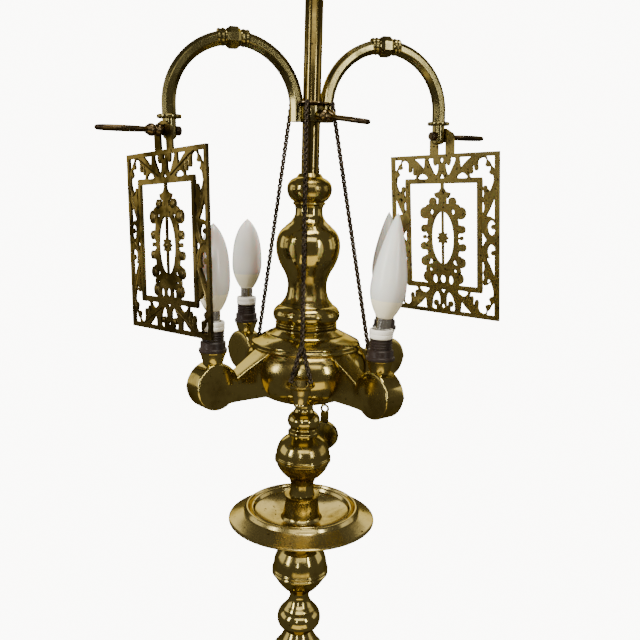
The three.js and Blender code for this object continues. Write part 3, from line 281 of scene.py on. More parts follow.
def worn_metal(name, bright, tarnish, specks, gloss, dull, cloud=(0.46, 0.7), speck=(0.66, 0.74), bump=0.12):
    """Bright metal under clouds of tarnish and fine specks. gloss and dull are roughnesses."""
    finish = Finish(name, Metallic=1.0, Specular_Tint=EDGE_TINT)
    clouds = finish.steps(finish.noise(CLOUDS_SCALE, 4, 0.62), *cloud)
    spots = finish.steps(finish.noise(SPECKS_SCALE, 2, 0.5), *speck)
    grain = finish.noise(GRAIN_SCALE, 2, 0.6)
    colour = finish.blend(clouds, bright, tarnish)
    finish.feed("Base Color", finish.blend(spots, colour, specks))
    finish.feed("Roughness", gloss + clouds * (dull - gloss) + spots * SPECK_DULLNESS)
    rough_height = grain * 0.4 + finish.noise(DENTS_SCALE, 2, 0.5)
    finish.feed("Normal", finish.bumps(rough_height, bump, DENT_DEPTH))
    return finish.material


brass = worn_metal(
    "polished_brass", (0.49, 0.405, 0.135, 1), (0.24, 0.18, 0.052, 1), (0.07, 0.05, 0.015, 1), 0.11, 0.26,
    bump=0.07
)
pan_brass = worn_metal(
    "pan_brass", (0.52, 0.43, 0.165, 1), (0.30, 0.23, 0.075, 1), (0.08, 0.055, 0.018, 1), 0.17, 0.32,
    speck=(0.66, 0.72), bump=0.1
)
arm_brass = worn_metal(
    "tarnished_brass", (0.23, 0.195, 0.075, 1), (0.085, 0.077, 0.032, 1), (0.04, 0.045, 0.025, 1), 0.18, 0.36
)
rod_brass = worn_metal(
    "rod_brass", (0.22, 0.17, 0.055, 1), (0.11, 0.08, 0.023, 1), (0.04, 0.028, 0.01, 1), 0.13, 0.24, bump=0.07
)
screen_brass = worn_metal(
    "screen_brass", (0.30, 0.24, 0.08, 1), (0.17, 0.128, 0.042, 1), (0.03, 0.02, 0.01, 1), 0.34, 0.48,
    speck=(0.62, 0.69), bump=0.2
)
screen_back_bronze = worn_metal(
    "screen_bronze", (0.22, 0.17, 0.062, 1), (0.045, 0.034, 0.014, 1), (0.025, 0.018, 0.01, 1), 0.24, 0.40,
    cloud=(0.40, 0.62), bump=0.25
)
dark_bronze = worn_metal(
    "dark_bronze", (0.17, 0.125, 0.06, 1), (0.045, 0.032, 0.02, 1), (0.02, 0.014, 0.01, 1), 0.20, 0.40,
    cloud=(0.36, 0.60), bump=0.15
)
chain_black = worn_metal(
    "blackened_links", (0.075, 0.06, 0.045, 1), (0.018, 0.015, 0.013, 1), (0.012, 0.01, 0.009, 1), 0.30, 0.46,
    cloud=(0.45, 0.70), bump=0.1
)
iron = worn_metal(
    "cast_iron", (0.11, 0.11, 0.11, 1), (0.06, 0.055, 0.05, 1), (0.1, 0.05, 0.03, 1), 0.6, 0.8, bump=0.5
)
steel = worn_metal("turned_steel", (0.5, 0.5, 0.48, 1), (0.3, 0.3, 0.28, 1), (0.15, 0.12, 0.1, 1), 0.3, 0.45)
print("metals:", len(bpy.data.materials))

# %% [markdown]
# ## Bulbs, holders, felt and cable
# A frosted bulb scatters light under its surface, so a little subsurface makes it look milky
# instead of painted. The holders are a moulded brown resin with a soft shine. The felt sheet
# under the base is only fibres, which a fine noise bump suggests.

# %% Other finishes
def plain_finish(name, colour, roughness, noise_scale, spread, bump, **constants):
    """One colour that wanders a little darker, by the share that spread gives."""
    finish = Finish(name, **constants)
    wander = finish.noise(noise_scale, 3, 0.6)
    shade = [c * (1 - spread) for c in colour[:3]] + [1]
    finish.feed("Base Color", finish.blend(wander, shade, colour))
    finish.feed("Roughness", roughness + wander * 0.1)
    finish.feed("Normal", finish.bumps(wander, bump, 0.0003))
    return finish.material


bulb_glass = plain_finish(
    "frosted_globe", (0.70, 0.72, 0.68, 1), 0.20, 60, 0.05, 0.02, Subsurface_Weight=0.2, Coat_Weight=0.5,
    Coat_Roughness=0.06
)
bulb_cream = plain_finish("bulb_cream", (0.86, 0.81, 0.62, 1), 0.3, 60, 0.05, 0.02)
cap_chrome = plain_finish("cap_chrome", (0.72, 0.71, 0.68, 1), 0.14, 60, 0.2, 0.02, Metallic=1.0)
holder_brown = plain_finish(
    "moulded_brown", (0.022, 0.014, 0.011, 1), 0.30, 80, 0.5, 0.05, Specular_IOR_Level=0.3
)
porcelain = plain_finish("porcelain", (0.86, 0.83, 0.74, 1), 0.18, 40, 0.12, 0.02, Coat_Weight=0.3)
felt = plain_finish("green_felt", (0.07, 0.13, 0.09, 1), 0.85, 900, 0.5, 0.8)
cable = plain_finish("cable_sheath", (0.03, 0.03, 0.03, 1), 0.5, 200, 0.3, 0.05)

# %% [markdown]
# ## Making meshes
# Almost every piece here is one of four things: a turned profile, a bar swept along a line, a
# flat plate cut from an outline, or a solid joined from those. A few helpers make them. Sharp
# edges are found by the angle between faces, so curved walls shade smoothly and rims stay crisp.

# %% Mesh helpers
SHARP_DEGREES = 32
WELD = 1e-4


def shaded(bm, degrees):
    """Smooth faces, with a crease where two of them meet at more than some degrees."""
    limit = math.radians(degrees)
    for face in bm.faces:
        face.smooth = True
    for edge in bm.edges:
        edge.smooth = len(edge.link_faces) == 2 and edge.calc_face_angle(0) < limit


def piece(name, bm, material, body, nodes=(), matrix=None, degrees=SHARP_DEGREES):
    """Turns a bmesh in millimetres into a named object that rides on a body."""
    if matrix is not None:
        bm.transform(matrix)
    bm.transform(Matrix.Scale(MM, 4))
    bmesh.ops.recalc_face_normals(bm, faces=bm.faces)
    shaded(bm, degrees)
    mesh = bpy.data.meshes.new(name)
    bm.to_mesh(mesh)
    bm.free()
    materials = material if isinstance(material, (list, tuple)) else [material]
    for entry in materials:
        mesh.materials.append(entry)
    made = bpy.data.objects.new(name, mesh)
    bpy.context.scene.collection.objects.link(made)
    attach(made, body)
    if nodes:
        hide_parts(*nodes)
    return made


def bend(start, pull, end, t):
    """The place at t, from 0 to 1, on a curve from start to end that is pulled aside."""
    return start * (1 - t) ** 2 + pull * 2 * t * (1 - t) + end * t ** 2


def smooth_outline(rows, radius, height, lift=0, steps=7):
    """Rows of shares to points: two numbers end a line, four bend it towards the first pair."""
    points = []
    for row in rows:
        end = Vector((row[-2] * radius, lift + row[-1] * height))
        if len(row) == 4:
            start = points[-1]
            pull = Vector((row[0] * radius, lift + row[1] * height))
            points += [bend(start, pull, end, step / steps) for step in range(1, steps)]
        points.append(end)
    return points


def eased(points, reach=0.5):
    """Cuts each corner a little, so a turned edge catches the light as a real one does."""
    out = [points[0]]
    for before, corner, after in zip(points, points[1:], points[2:]):
        back, forth = before - corner, after - corner
        if back.length < 1e-6 or forth.length < 1e-6:
            continue
        bend = back.angle(forth, math.pi)
        if bend > math.radians(165):
            out.append(corner)
            continue
        near = corner + back.normalized() * min(reach, back.length * 0.4)
        far = corner + forth.normalized() * min(reach, forth.length * 0.4)
        out += [near, (near + far) / 4 + corner / 2, far]
    out.append(points[-1])
    return out


def turned(bm, points, steps, matrix=None):
    """Spins a profile about the Z axis. A point on the axis becomes a pole."""
    rings = []
    for point in points:
        if point[0] < 1e-6:
            rings.append([bm.verts.new((0, 0, point[1]))])
        else:
            ring = round_points(point[0], point[0], steps)
            rings.append([bm.verts.new((p.x, p.y, point[1])) for p in ring])
    for lower, upper in zip(rings, rings[1:]):
        if len(lower) == len(upper) == 1:
            continue
        if len(lower) == len(upper):
            bridge(bm, lower, upper)
            continue
        for n in range(steps):
            m = (n + 1) % steps
            if len(lower) == 1:
                bm.faces.new((lower[0], upper[m], upper[n]))
            else:
                bm.faces.new((lower[n], lower[m], upper[0]))
    if matrix is not None:
        bmesh.ops.transform(bm, matrix=matrix, verts=[v for ring in rings for v in ring])


def turned_ring(bm, ring, steps):
    """Spins a closed outline, as a piece with a bore has."""
    turned(bm, ring + [ring[0]], steps)
    bmesh.ops.remove_doubles(bm, verts=bm.verts, dist=WELD)


def rod_outline(radius, low, high):
    """The profile of a plain rod with flat ends."""
    return [Vector((0, low)), Vector((radius, low)), Vector((radius, high)), Vector((0, high))]


def loft(bm, rings, closed=False):
    """Joins a row of rings by bands. It closes on itself, or a face caps each end."""
    for lower, upper in zip(rings, rings[1:] + rings[:1] if closed else rings[1:]):
        bridge(bm, lower, upper)
    if not closed:
        bm.faces.new(rings[0][::-1])
        bm.faces.new(rings[-1])


def swept(bm, path, section, closed=False):
    """Carries a section, a list of (side, up) offsets, along a path of points."""
    count = len(path)
    tangents = []
    for n in range(count):
        before = path[(n - 1) % count] if closed or n else path[n]
        after = path[(n + 1) % count] if closed or n < count - 1 else path[n]
        tangents.append((after - before).normalized())
    side = tangents[0].cross(Vector((0, 0, 1)))
    if side.length < 1e-3:
        side = Vector((0, 1, 0))
    side.normalize()
    rings = []
    for point, tangent in zip(path, tangents):
        side = (side - tangent * side.dot(tangent)).normalized()
        up = side.cross(tangent).normalized()
        rings.append([bm.verts.new(point + side * a + up * b) for a, b in section])
    loft(bm, rings, closed)


def ring_section(radius, sides):
    return round_points(radius, radius, sides)


def polar(radius, degrees, height):
    turn = math.radians(degrees)
    return Vector((radius * math.cos(turn), radius * math.sin(turn), height))


def turn_z(degrees):
    return Matrix.Rotation(math.radians(degrees), 4, "Z")


def lift_z(height):
    return Matrix.Translation((0, 0, height))


UP_TO_X = Matrix.Rotation(math.radians(90), 4, "Y")
print("helpers ready")

# %% [markdown]
# ## The turned stem
# The maker turned each piece on a lathe and threaded them on one rod, so each is its own object
# with a fine seam to the next. Each row is a profile in shares of the piece's radius and
# height, close to the CAD's own. The corners are eased, and the curves get more steps.

# %% Stem profiles
SEAT_GAP = 0.3
FELT_RADIUS, FELT_THICKNESS = 146, 2.5
FOOT_RADIUS, FOOT_HEIGHT = 150, 66
ROD_RADIUS, UPPER_ROD_RADIUS, RUNNING_GAP = 5, 9.8, 0.3

FOOT_SHARES = [
    (1, 0), (1, 0.212), (0.97, 0.3), (0.875, 0.35), (0.865, 0.42), (0.7, 0.46, 0.48, 0.55), (0.47, 0.62),
    (0.36, 0.66, 0.28, 0.84), (0.26, 0.86), (0.26, 0.93), (0.24, 1),
]
LOWER_STACK = [
    ("base_urn", 40, 155, [
        (0.85, 0), (0.88, 0.06), (0.42, 0.1, 0.4, 0.2), (0.52, 0.22), (0.52, 0.25), (0.42, 0.27),
        (0.95, 0.36, 1, 0.58), (1, 0.76, 0.55, 0.83), (0.6, 0.85), (0.6, 0.89), (0.42, 0.91), (0.4, 1),
    ]),
    ("column", 20, 376.5, [
        (0.95, 0), (1, 0.028), (0.78, 0.04), (0.72, 0.45), (0.9, 0.465), (1.25, 0.48), (1.25, 0.52),
        (0.9, 0.535), (0.7, 0.55), (0.64, 0.94), (0.8, 0.964), (1, 0.975), (0.95, 1),
    ]),
    ("baluster", 34, 193.4, [
        (0.54, 0), (0.58, 0.04), (0.42, 0.06), (0.6, 0.085), (0.6, 0.11), (0.4, 0.13),
        (0.4, 0.45, 0.82, 0.64), (1, 0.72, 1, 0.79), (1, 0.88, 0.72, 0.915), (0.47, 1),
    ]),
    ("lower_knop", 26.2, 52.7, [
        (0.62, 0), (0.66, 0.05), (1, 0.14, 1, 0.3), (1, 0.47, 0.745, 0.56), (0.7, 0.6),
        (0.5, 0.7, 0.44, 0.84), (0.45, 0.93, 0.515, 1),
    ]),
    ("lower_ball", 33.6, 59, [
        (0.42, 0), (0.7, 0.1, 0.94, 0.36), (1, 0.39), (1, 0.42), (0.965, 0.44), (1, 0.46), (1, 0.49),
        (0.96, 0.51), (0.95, 0.72, 0.8, 0.85), (0.756, 0.9), (0.59, 1),
    ]),
    ("drip_pan", 86, 62.8, [
        (0.227, 0), (0.233, 0.075), (0.198, 0.155), (0.279, 0.378), (0.314, 0.483), (0.54, 0.55),
        (0.674, 0.689), (0.744, 0.7), (0.983, 0.515), (1, 0.531), (1, 0.553), (0.88, 0.63, 0.785, 0.705),
        (0.772, 0.75), (0.756, 0.782), (0.738, 0.782), (0.724, 0.745), (0.709, 0.70), (0.695, 0.74),
        (0.680, 0.765), (0.662, 0.75), (0.640, 0.69), (0.5, 0.56, 0.285, 0.54), (0.256, 0.6),
        (0.213, 0.936), (0.235, 0.968), (0.235, 1),
    ]),
    ("upper_ball", 32.8, 72.6, [
        (0.46, 0), (0.415, 0.08), (0.415, 0.19), (0.485, 0.285), (0.86, 0.4, 0.955, 0.565), (1, 0.58),
        (1, 0.604), (0.965, 0.613), (1, 0.622), (1, 0.645), (0.96, 0.66), (0.955, 0.84, 0.73, 0.93),
        (0.52, 1),
    ]),
    ("small_knop", 19, 39.4, [
        (0.9, 0), (0.95, 0.03), (0.95, 0.12), (0.79, 0.2), (0.79, 0.24), (1, 0.32, 1, 0.45),
        (1, 0.6, 0.63, 0.72), (0.56, 0.8), (0.56, 0.9), (0.63, 1),
    ]),
]
UPPER_STACK = [
    ("vase_foot", 37.8, 28.2, [
        (0.89, 0), (0.92, 0.04), (0.92, 0.1), (0.88, 0.12), (0.92, 0.15), (0.92, 0.2), (0.88, 0.23),
        (0.98, 0.28, 1, 0.5), (1, 0.72, 0.84, 0.86), (0.8, 0.88), (0.74, 1),
    ]),
    ("vase_body", 35.9, 103.7, [
        (0.766, 0), (0.62, 0.06, 0.61, 0.17), (0.61, 0.26, 0.77, 0.35), (0.99, 0.47, 1, 0.6),
        (1, 0.74, 0.73, 0.807), (0.694, 0.822), (0.46, 0.88, 0.426, 0.95), (0.418, 1),
    ]),
    ("vase_knob", 24.9, 37.7, [
        (0.62, 0), (0.64, 0.08), (0.72, 0.12), (0.72, 0.16), (0.68, 0.19), (0.98, 0.3, 1, 0.55),
        (1, 0.76, 0.695, 0.867), (0.6, 0.89), (0.48, 1),
    ]),
]
FOOT_BOTTOM = FELT_THICKNESS + SEAT_GAP
FOOT_TOP = FOOT_BOTTOM + FOOT_HEIGHT

# %% Turn the stem
def threaded_on_rod(stack, level, rod_radius):
    """Makes the pieces of a stack, each a fine seam above the last, and gives the next level."""
    for name, radius, height, shares in stack:
        bm = bmesh.new()
        points = smooth_outline(shares, radius, height, level)
        bore = rod_radius + RUNNING_GAP
        turned_ring(bm, [Vector((bore, points[0].y))] + eased(points) + [Vector((bore, points[-1].y))], 96)
        piece(name, bm, pan_brass if name == "drip_pan" else brass, "stand", [name])
        level += height + SEAT_GAP
    return level


RESERVOIR_BOTTOM = threaded_on_rod(LOWER_STACK, FOOT_TOP + SEAT_GAP, ROD_RADIUS)
RESERVOIR_RADIUS, RESERVOIR_HEIGHT, RESERVOIR_RIM = 70, 70.7, 61
LID_BOTTOM = RESERVOIR_BOTTOM + RESERVOIR_HEIGHT + SEAT_GAP
LID_HEIGHT = 17.4
stack_top = threaded_on_rod(UPPER_STACK, LID_BOTTOM + LID_HEIGHT + SEAT_GAP, UPPER_ROD_RADIUS)

FOOT_WALL, FOOT_ROOF, RIM_DEPTH, WELL_DEPTH, WELL_IN, WELL_OUT, ROOF_EDGE = 4, 9, 12, 27, 71, 99, 30
foot_bm = bmesh.new()
foot_outside = eased(smooth_outline(FOOT_SHARES, FOOT_RADIUS, FOOT_HEIGHT, FOOT_BOTTOM), 1.2)
foot_ring = foot_outside + [
    Vector((ROD_RADIUS + RUNNING_GAP, FOOT_TOP)),
    Vector((ROD_RADIUS + RUNNING_GAP, FOOT_TOP - FOOT_ROOF)),
    Vector((ROOF_EDGE, FOOT_TOP - FOOT_ROOF)),
    Vector((WELL_IN, FOOT_BOTTOM + WELL_DEPTH)),
    Vector((WELL_OUT, FOOT_BOTTOM + WELL_DEPTH)),
    Vector((FOOT_RADIUS - 2 * FOOT_WALL, FOOT_BOTTOM + RIM_DEPTH)),
    Vector((FOOT_RADIUS - FOOT_WALL, FOOT_BOTTOM)),
]
turned_ring(foot_bm, foot_ring, 128)
piece("base_foot_turned", foot_bm, brass, "stand", ["base_foot"])
felt_bm = bmesh.new()
turned(felt_bm, rod_outline(FELT_RADIUS, 0, FELT_THICKNESS), 128)
piece("felt_sheet", felt_bm, felt, "stand", ["base_felt"])
print("stem top at", round(stack_top, 1), "mm")

# %% [markdown]
# ## The reservoir and its spouts
# Each spout is a flat-sided bowl, like a thick wheel, with a ramp that runs up to the
# reservoir's shoulder. It is a loft: a rounded oblong is cut across the spout at many places,
# narrow at the waist and a little swollen over the bowl, which is what bends the reflections in
# its cheeks. A Boolean joins the four to the turned body, as the founder cast them in one.

# %% Reservoir
SPOUT_ANGLES = {"left_front": -141, "right_front": -52, "right_rear": 38, "left_rear": 128}
SPOUT_REACH, BOWL_RADIUS, BOWL_HEIGHT = 123, 25, 38.4
RAMP_HEIGHT, RAMP_SLOPE, SPOUT_WIDTH = 66.9, 30, 25
UNDER_HEIGHT, UNDER_REACH, UNDER_BEND, UNDER_ANGLE, SPOUT_ROOT = 18.4, 92, 103, 235, 50
RESERVOIR_SHARES = [
    (0.186, 0), (0.25, 0.02), (0.72, 0.1, 0.9, 0.32), (1, 0.45, 1, 0.62), (1, 0.83, 0.879, 0.925),
    (0.893, 0.95), (0.893, 0.975), (0.871, 1),
]
WAIST_PLACE, WAIST_REACH, WAIST_DEPTH, ROOT_FLARE = 90, 17, 2.2, 1.2
RAMP_EDGE, BOWL_EDGE, CHEEK_BULGE = 0.9, 2.4, 0.9
RAMP_CUTS, BOWL_CUTS, BOWL_END = 7, 34, 4


def bowl_height(out, side):
    """The height of the bowl's round edge, above (side 1) or below (side -1) its middle."""
    return BOWL_HEIGHT + side * math.sqrt(max(BOWL_RADIUS ** 2 - (out - SPOUT_REACH) ** 2, 0))


def spout_stations():
    """Where the spout is cut across: out along it, with the bottom and the top there."""
    slope = math.radians(RAMP_SLOPE)
    normal = Vector((math.sin(slope), math.cos(slope)))
    along = Vector((math.cos(slope), -math.sin(slope)))
    centre = Vector((SPOUT_REACH, BOWL_HEIGHT))
    rim = Vector((RESERVOIR_RIM, RAMP_HEIGHT))
    offset = (rim - centre).dot(normal)
    notch = centre + normal * offset - along * math.sqrt(BOWL_RADIUS ** 2 - offset ** 2)
    first = math.acos((notch.x - SPOUT_REACH) / BOWL_RADIUS)
    last = math.radians(BOWL_END)
    places = [SPOUT_ROOT] + [rim.x + (notch.x - rim.x) * n / RAMP_CUTS for n in range(RAMP_CUTS + 1)]
    turns = [first + (last - first) * n / BOWL_CUTS for n in range(1, BOWL_CUTS + 1)]
    places += [SPOUT_REACH + BOWL_RADIUS * math.cos(turn) for turn in turns]
    under = Vector((UNDER_REACH, UNDER_HEIGHT))
    pull = Vector((UNDER_BEND, UNDER_HEIGHT))
    turn = math.radians(UNDER_ANGLE)
    meet = centre + BOWL_RADIUS * Vector((math.cos(turn), math.sin(turn)))
    stations = []
    for out in places:
        if out <= under.x:
            low = UNDER_HEIGHT
        elif out < meet.x:
            share = (out - under.x) / (meet.x - under.x)
            low = bend(under.y, pull.y, meet.y, share)
        else:
            low = bowl_height(out, -1)
        if out <= rim.x:
            high = RAMP_HEIGHT
        elif out <= notch.x + 1e-6:
            high = RAMP_HEIGHT - (out - rim.x) * math.tan(slope)
        else:
            high = bowl_height(out, 1)
        stations.append((out, low, high))
    return stations


def spout_section(out, low, high):
    """A rounded oblong across the spout. The cheeks swell over the bowl and are waisted before it."""
    bell = math.exp(-((out - WAIST_PLACE) / WAIST_REACH) ** 2)
    swell = min(max((out - WAIST_PLACE) / WAIST_REACH, 0), 1)
    flare = ROOT_FLARE * min(max((RESERVOIR_RADIUS - out) / (RESERVOIR_RADIUS - SPOUT_ROOT), 0), 1)
    half = SPOUT_WIDTH / 2 - WAIST_DEPTH * bell + flare - CHEEK_BULGE * swell
    edge = min(RAMP_EDGE + (BOWL_EDGE - RAMP_EDGE) * swell, 0.48 * (high - low))
    points = []
    for side, levels in ((1, (low, high)), (-1, (high, low))):
        for first, level in enumerate(levels):
            inward = 1 if level == low else -1
            centre = Vector((side * (half - edge), level + inward * edge))
            for n in range(6):
                turn = math.pi / 2 * n / 5
                parts = (math.sin(turn), math.cos(turn))
                out_part, up_part = parts if first == 0 else reversed(parts)
                points.append(centre + Vector((side * edge * out_part, -inward * edge * up_part)))
            if first == 0:
                for n in range(1, 8):
                    share = n / 8
                    span = levels[1] - levels[0] - 2 * inward * edge
                    swollen = half + CHEEK_BULGE * swell * math.sin(math.pi * share)
                    points.append(Vector((side * swollen, levels[0] + inward * edge + span * share)))
    return [(out, p.x, p.y) for p in points]


def spout_bm(degrees):
    """One spout, turned to its angle about the stem."""
    bm = bmesh.new()
    rings = [[bm.verts.new(p) for p in spout_section(*station)] for station in spout_stations()]
    loft(bm, rings)
    bmesh.ops.transform(bm, matrix=lift_z(RESERVOIR_BOTTOM) @ turn_z(degrees), verts=bm.verts)
    bmesh.ops.recalc_face_normals(bm, faces=bm.faces)
    return bm


def joined(base, others):
    """Runs exact Booleans on scratch objects and gives the result back as a bmesh."""
    holder = bpy.data.objects.new("scratch_base", bpy.data.meshes.new("scratch_base"))
    base.to_mesh(holder.data)
    base.free()
    bpy.context.scene.collection.objects.link(holder)
    scratch = []
    for other in others:
        tool = bpy.data.objects.new("scratch_tool", bpy.data.meshes.new("scratch_tool"))
        other.to_mesh(tool.data)
        other.free()
        bpy.context.scene.collection.objects.link(tool)
        scratch.append(tool)
        boolean = holder.modifiers.new("join", "BOOLEAN")
        boolean.operation = "UNION"
        boolean.solver = "EXACT"
        boolean.object = tool
    bpy.context.view_layer.update()
    result = bmesh.new()
    evaluated = holder.evaluated_get(bpy.context.evaluated_depsgraph_get())
    result.from_mesh(evaluated.to_mesh())
    evaluated.to_mesh_clear()
    for thing in scratch + [holder]:
        mesh = thing.data
        bpy.data.objects.remove(thing)
        bpy.data.meshes.remove(mesh)
    return result


body_bm = bmesh.new()
wall = smooth_outline(RESERVOIR_SHARES, RESERVOIR_RADIUS, RESERVOIR_HEIGHT, RESERVOIR_BOTTOM, 10)
reservoir_top = RESERVOIR_BOTTOM + RESERVOIR_HEIGHT
turned(body_bm, [Vector((0, RESERVOIR_BOTTOM))] + eased(wall) + [Vector((0, reservoir_top))], 128)
bmesh.ops.recalc_face_normals(body_bm, faces=body_bm.faces)
reservoir_bm = joined(body_bm, [spout_bm(a) for a in SPOUT_ANGLES.values()])
piece("reservoir_cast", reservoir_bm, brass, "stand", ["reservoir"], degrees=26)

LID_TOP_RADIUS, LID_EDGE, LID_THICKNESS, GROOVE_SHARE = 35, 2, 3, 0.62
lid_top = LID_BOTTOM + LID_HEIGHT


def lid_slope(share):
    """A point of the lid's slope, from its rim at 0 to its top at 1."""
    return Vector((
        RESERVOIR_RIM + (LID_TOP_RADIUS - RESERVOIR_RIM) * share,
        LID_BOTTOM + LID_EDGE + (LID_HEIGHT - 2 * LID_EDGE) * share,
    ))


lid_points = [
    Vector((RESERVOIR_RIM, LID_BOTTOM)), lid_slope(0), lid_slope(GROOVE_SHARE),
    lid_slope(GROOVE_SHARE + 0.04) - Vector((0, 1.2)), lid_slope(GROOVE_SHARE + 0.09) - Vector((0, 0.2)),
    lid_slope(1), Vector((LID_TOP_RADIUS, lid_top)),
]
lid_bm = bmesh.new()
lid_ring = eased(lid_points, 0.6) + [
    Vector((UPPER_ROD_RADIUS + RUNNING_GAP, lid_top)),
    Vector((UPPER_ROD_RADIUS + RUNNING_GAP, lid_top - LID_THICKNESS)),
    Vector((LID_TOP_RADIUS - LID_THICKNESS, lid_top - LID_THICKNESS)),
    Vector((RESERVOIR_RIM - LID_THICKNESS, LID_BOTTOM)),
]
turned_ring(lid_bm, lid_ring, 128)
piece("lid_turned", lid_bm, brass, "stand", ["reservoir_lid"])
print("reservoir from", round(RESERVOIR_BOTTOM, 1), "to", round(lid_top, 1), "mm")

# %% [markdown]
# ## The four lights
# On each spout stand a flared neck, a ribbed brown holder, a porcelain ring and a candle bulb.
# The bulb's globe, its cream skirt and its metal cap are separate materials on one turned
# form, so each face picks its material by height.

# %% Necks, holders, rings and bulbs
NECK_RADIUS, NECK_RISE, NECK_SINK, NECK_BORE = 14.5, 11.5, 5, 7
HOLDER_RADIUS, HOLDER_HEIGHT, HOLDER_BORE, HOLDER_FLOOR = 14.7, 21.5, 9.9, 13
RING_RADIUS, RING_HEIGHT = 12.1, 9.5
RING_SHARES = [(0.94, 0), (1, 0.12), (1, 0.42), (0.96, 0.48), (1, 0.54), (1, 0.85), (0.95, 1)]
CAP_RADIUS, CAP_LENGTH, CAP_FLARE, CONTACT_RADIUS, CONTACT_HEIGHT = 7.4, 30, 1.16, 3.5, 2
CREAM_SHARE = 0.62
ROUND_TIP, FLAME_TIP = 0.45, 0.12
BULBS = {
    "left_front": (17.2, 28, 60, ROUND_TIP, 0),
    "right_front": (18.2, 29, 75, FLAME_TIP, 5),
    "right_rear": (18.2, 29, 70, FLAME_TIP, 0),
    "left_rear": (18.2, 29, 56, ROUND_TIP, 0),
}
BOWL_TOP = RESERVOIR_BOTTOM + BOWL_HEIGHT + BOWL_RADIUS
HOLDER_SHARES = [(1, 0), (1, 0.12), (0.9, 0.16), (0.9, 0.44), (0.8, 0.5)]
HOLDER_RIBS, RIB_SHARES = 4, ((0.74, 0.02), (0.74, 0.045), (0.8, 0.06), (0.8, 0.11))
NECK_SHARES = [(0.72, 0), (0.72, 0.3), (0.94, 0.92), (1, 0.93), (1, 1)]


def holder_points(bottom):
    """The holder's outside: a plain sleeve with narrow ribs above it."""
    points = smooth_outline(HOLDER_SHARES, HOLDER_RADIUS, HOLDER_HEIGHT, bottom)
    for n in range(HOLDER_RIBS):
        low = 0.5 + n * 0.5 / HOLDER_RIBS
        for share, rise in RIB_SHARES:
            points.append(Vector((share * HOLDER_RADIUS, bottom + min(low + rise, 1) * HOLDER_HEIGHT)))
    return points


def bulb_points(radius, base, globe, tip):
    """A bulb's profile from its contact to its tip, and the height where the cream ends."""
    shoulder = CAP_LENGTH + base
    cream_top = CAP_LENGTH + base * CREAM_SHARE
    points = [Vector(p) for p in (
        (0, 0), (CONTACT_RADIUS, 0), (CONTACT_RADIUS, CONTACT_HEIGHT), (CAP_RADIUS, 2 * CONTACT_HEIGHT),
        (CAP_RADIUS, CAP_LENGTH - 1), (CAP_RADIUS * CAP_FLARE, CAP_LENGTH),
    )]
    start, pull, end = points[-1], Vector((radius, shoulder - base / 2)), Vector((radius, shoulder))
    points += [bend(start, pull, end, step / 10) for step in range(1, 11)]
    p1 = Vector((radius, shoulder + globe / 3))
    p2 = Vector((radius * tip * 2, shoulder + globe * (1 - tip / 2)))
    p3 = Vector((0, shoulder + globe))
    for step in range(1, 25):
        t = step / 24
        points.append(end * (1 - t) ** 3 + p1 * 3 * t * (1 - t) ** 2 + p2 * 3 * t * t * (1 - t) + p3 * t ** 3)
    return points, cream_top


for side, degrees in SPOUT_ANGLES.items():
    stand_place = turn_z(degrees) @ Matrix.Translation((SPOUT_REACH, 0, BOWL_TOP))
    bm = bmesh.new()
    neck_points = smooth_outline(NECK_SHARES, NECK_RADIUS, NECK_RISE + NECK_SINK, -NECK_SINK)
    neck_ends = Vector((NECK_BORE, -NECK_SINK)), Vector((NECK_BORE, NECK_RISE))
    turned_ring(bm, [neck_ends[0]] + eased(neck_points, 0.4) + [neck_ends[1]], 48)
    piece(f"neck_{side}", bm, brass, "stand", [f"spout_neck_{side}"], stand_place)

    bottom = NECK_RISE + SEAT_GAP
    bm = bmesh.new()
    cup = [Vector((0, bottom))] + eased(holder_points(bottom), 0.3) + [
        Vector((HOLDER_BORE, bottom + HOLDER_HEIGHT)),
        Vector((HOLDER_BORE, bottom + HOLDER_FLOOR)),
        Vector((0, bottom + HOLDER_FLOOR)),
    ]
    turned(bm, cup, 48)
    piece(f"holder_{side}", bm, holder_brown, "stand", [f"lampholder_{side}"], stand_place)

    bottom += HOLDER_HEIGHT + SEAT_GAP
    bm = bmesh.new()
    ring_points = eased(smooth_outline(RING_SHARES, RING_RADIUS, RING_HEIGHT, bottom))
    ring_top = Vector((HOLDER_BORE, bottom + RING_HEIGHT))
    turned_ring(bm, [Vector((HOLDER_BORE, bottom))] + ring_points + [ring_top], 48)
    piece(f"ring_{side}", bm, porcelain, "stand", [f"porcelain_ring_{side}"], stand_place)

    radius, base, globe, tip, lean = BULBS[side]
    bm = bmesh.new()
    points, cream_top = bulb_points(radius, base, globe, tip)
    turned(bm, points, 64)
    for face in bm.faces:
        middle = face.calc_center_median().z
        face.material_index = 2 if middle < CAP_LENGTH - 0.5 else (1 if middle < cream_top else 0)
    heel = CONTACT_RADIUS * math.sin(math.radians(lean))
    foot_level = NECK_RISE + SEAT_GAP + HOLDER_FLOOR + SEAT_GAP + heel
    bulb_place = stand_place @ lift_z(foot_level) @ turn_z(-degrees)
    bulb_place = bulb_place @ Matrix.Rotation(math.radians(lean), 4, "Y")
    skins = [bulb_glass, bulb_cream, cap_chrome]
    piece(f"candle_{side}", bm, skins, "stand", [f"bulb_{side}"], bulb_place)
print("bulbs:", len(BULBS))

# %% [markdown]
# ## The rod, the finial and the sliding collar
# The upper rod is plain bar. The collar clamps on it with a thumbscrew, and the hoop that the
# chains hang from lies on the collar. These and the bush are tubes, so one helper makes them.

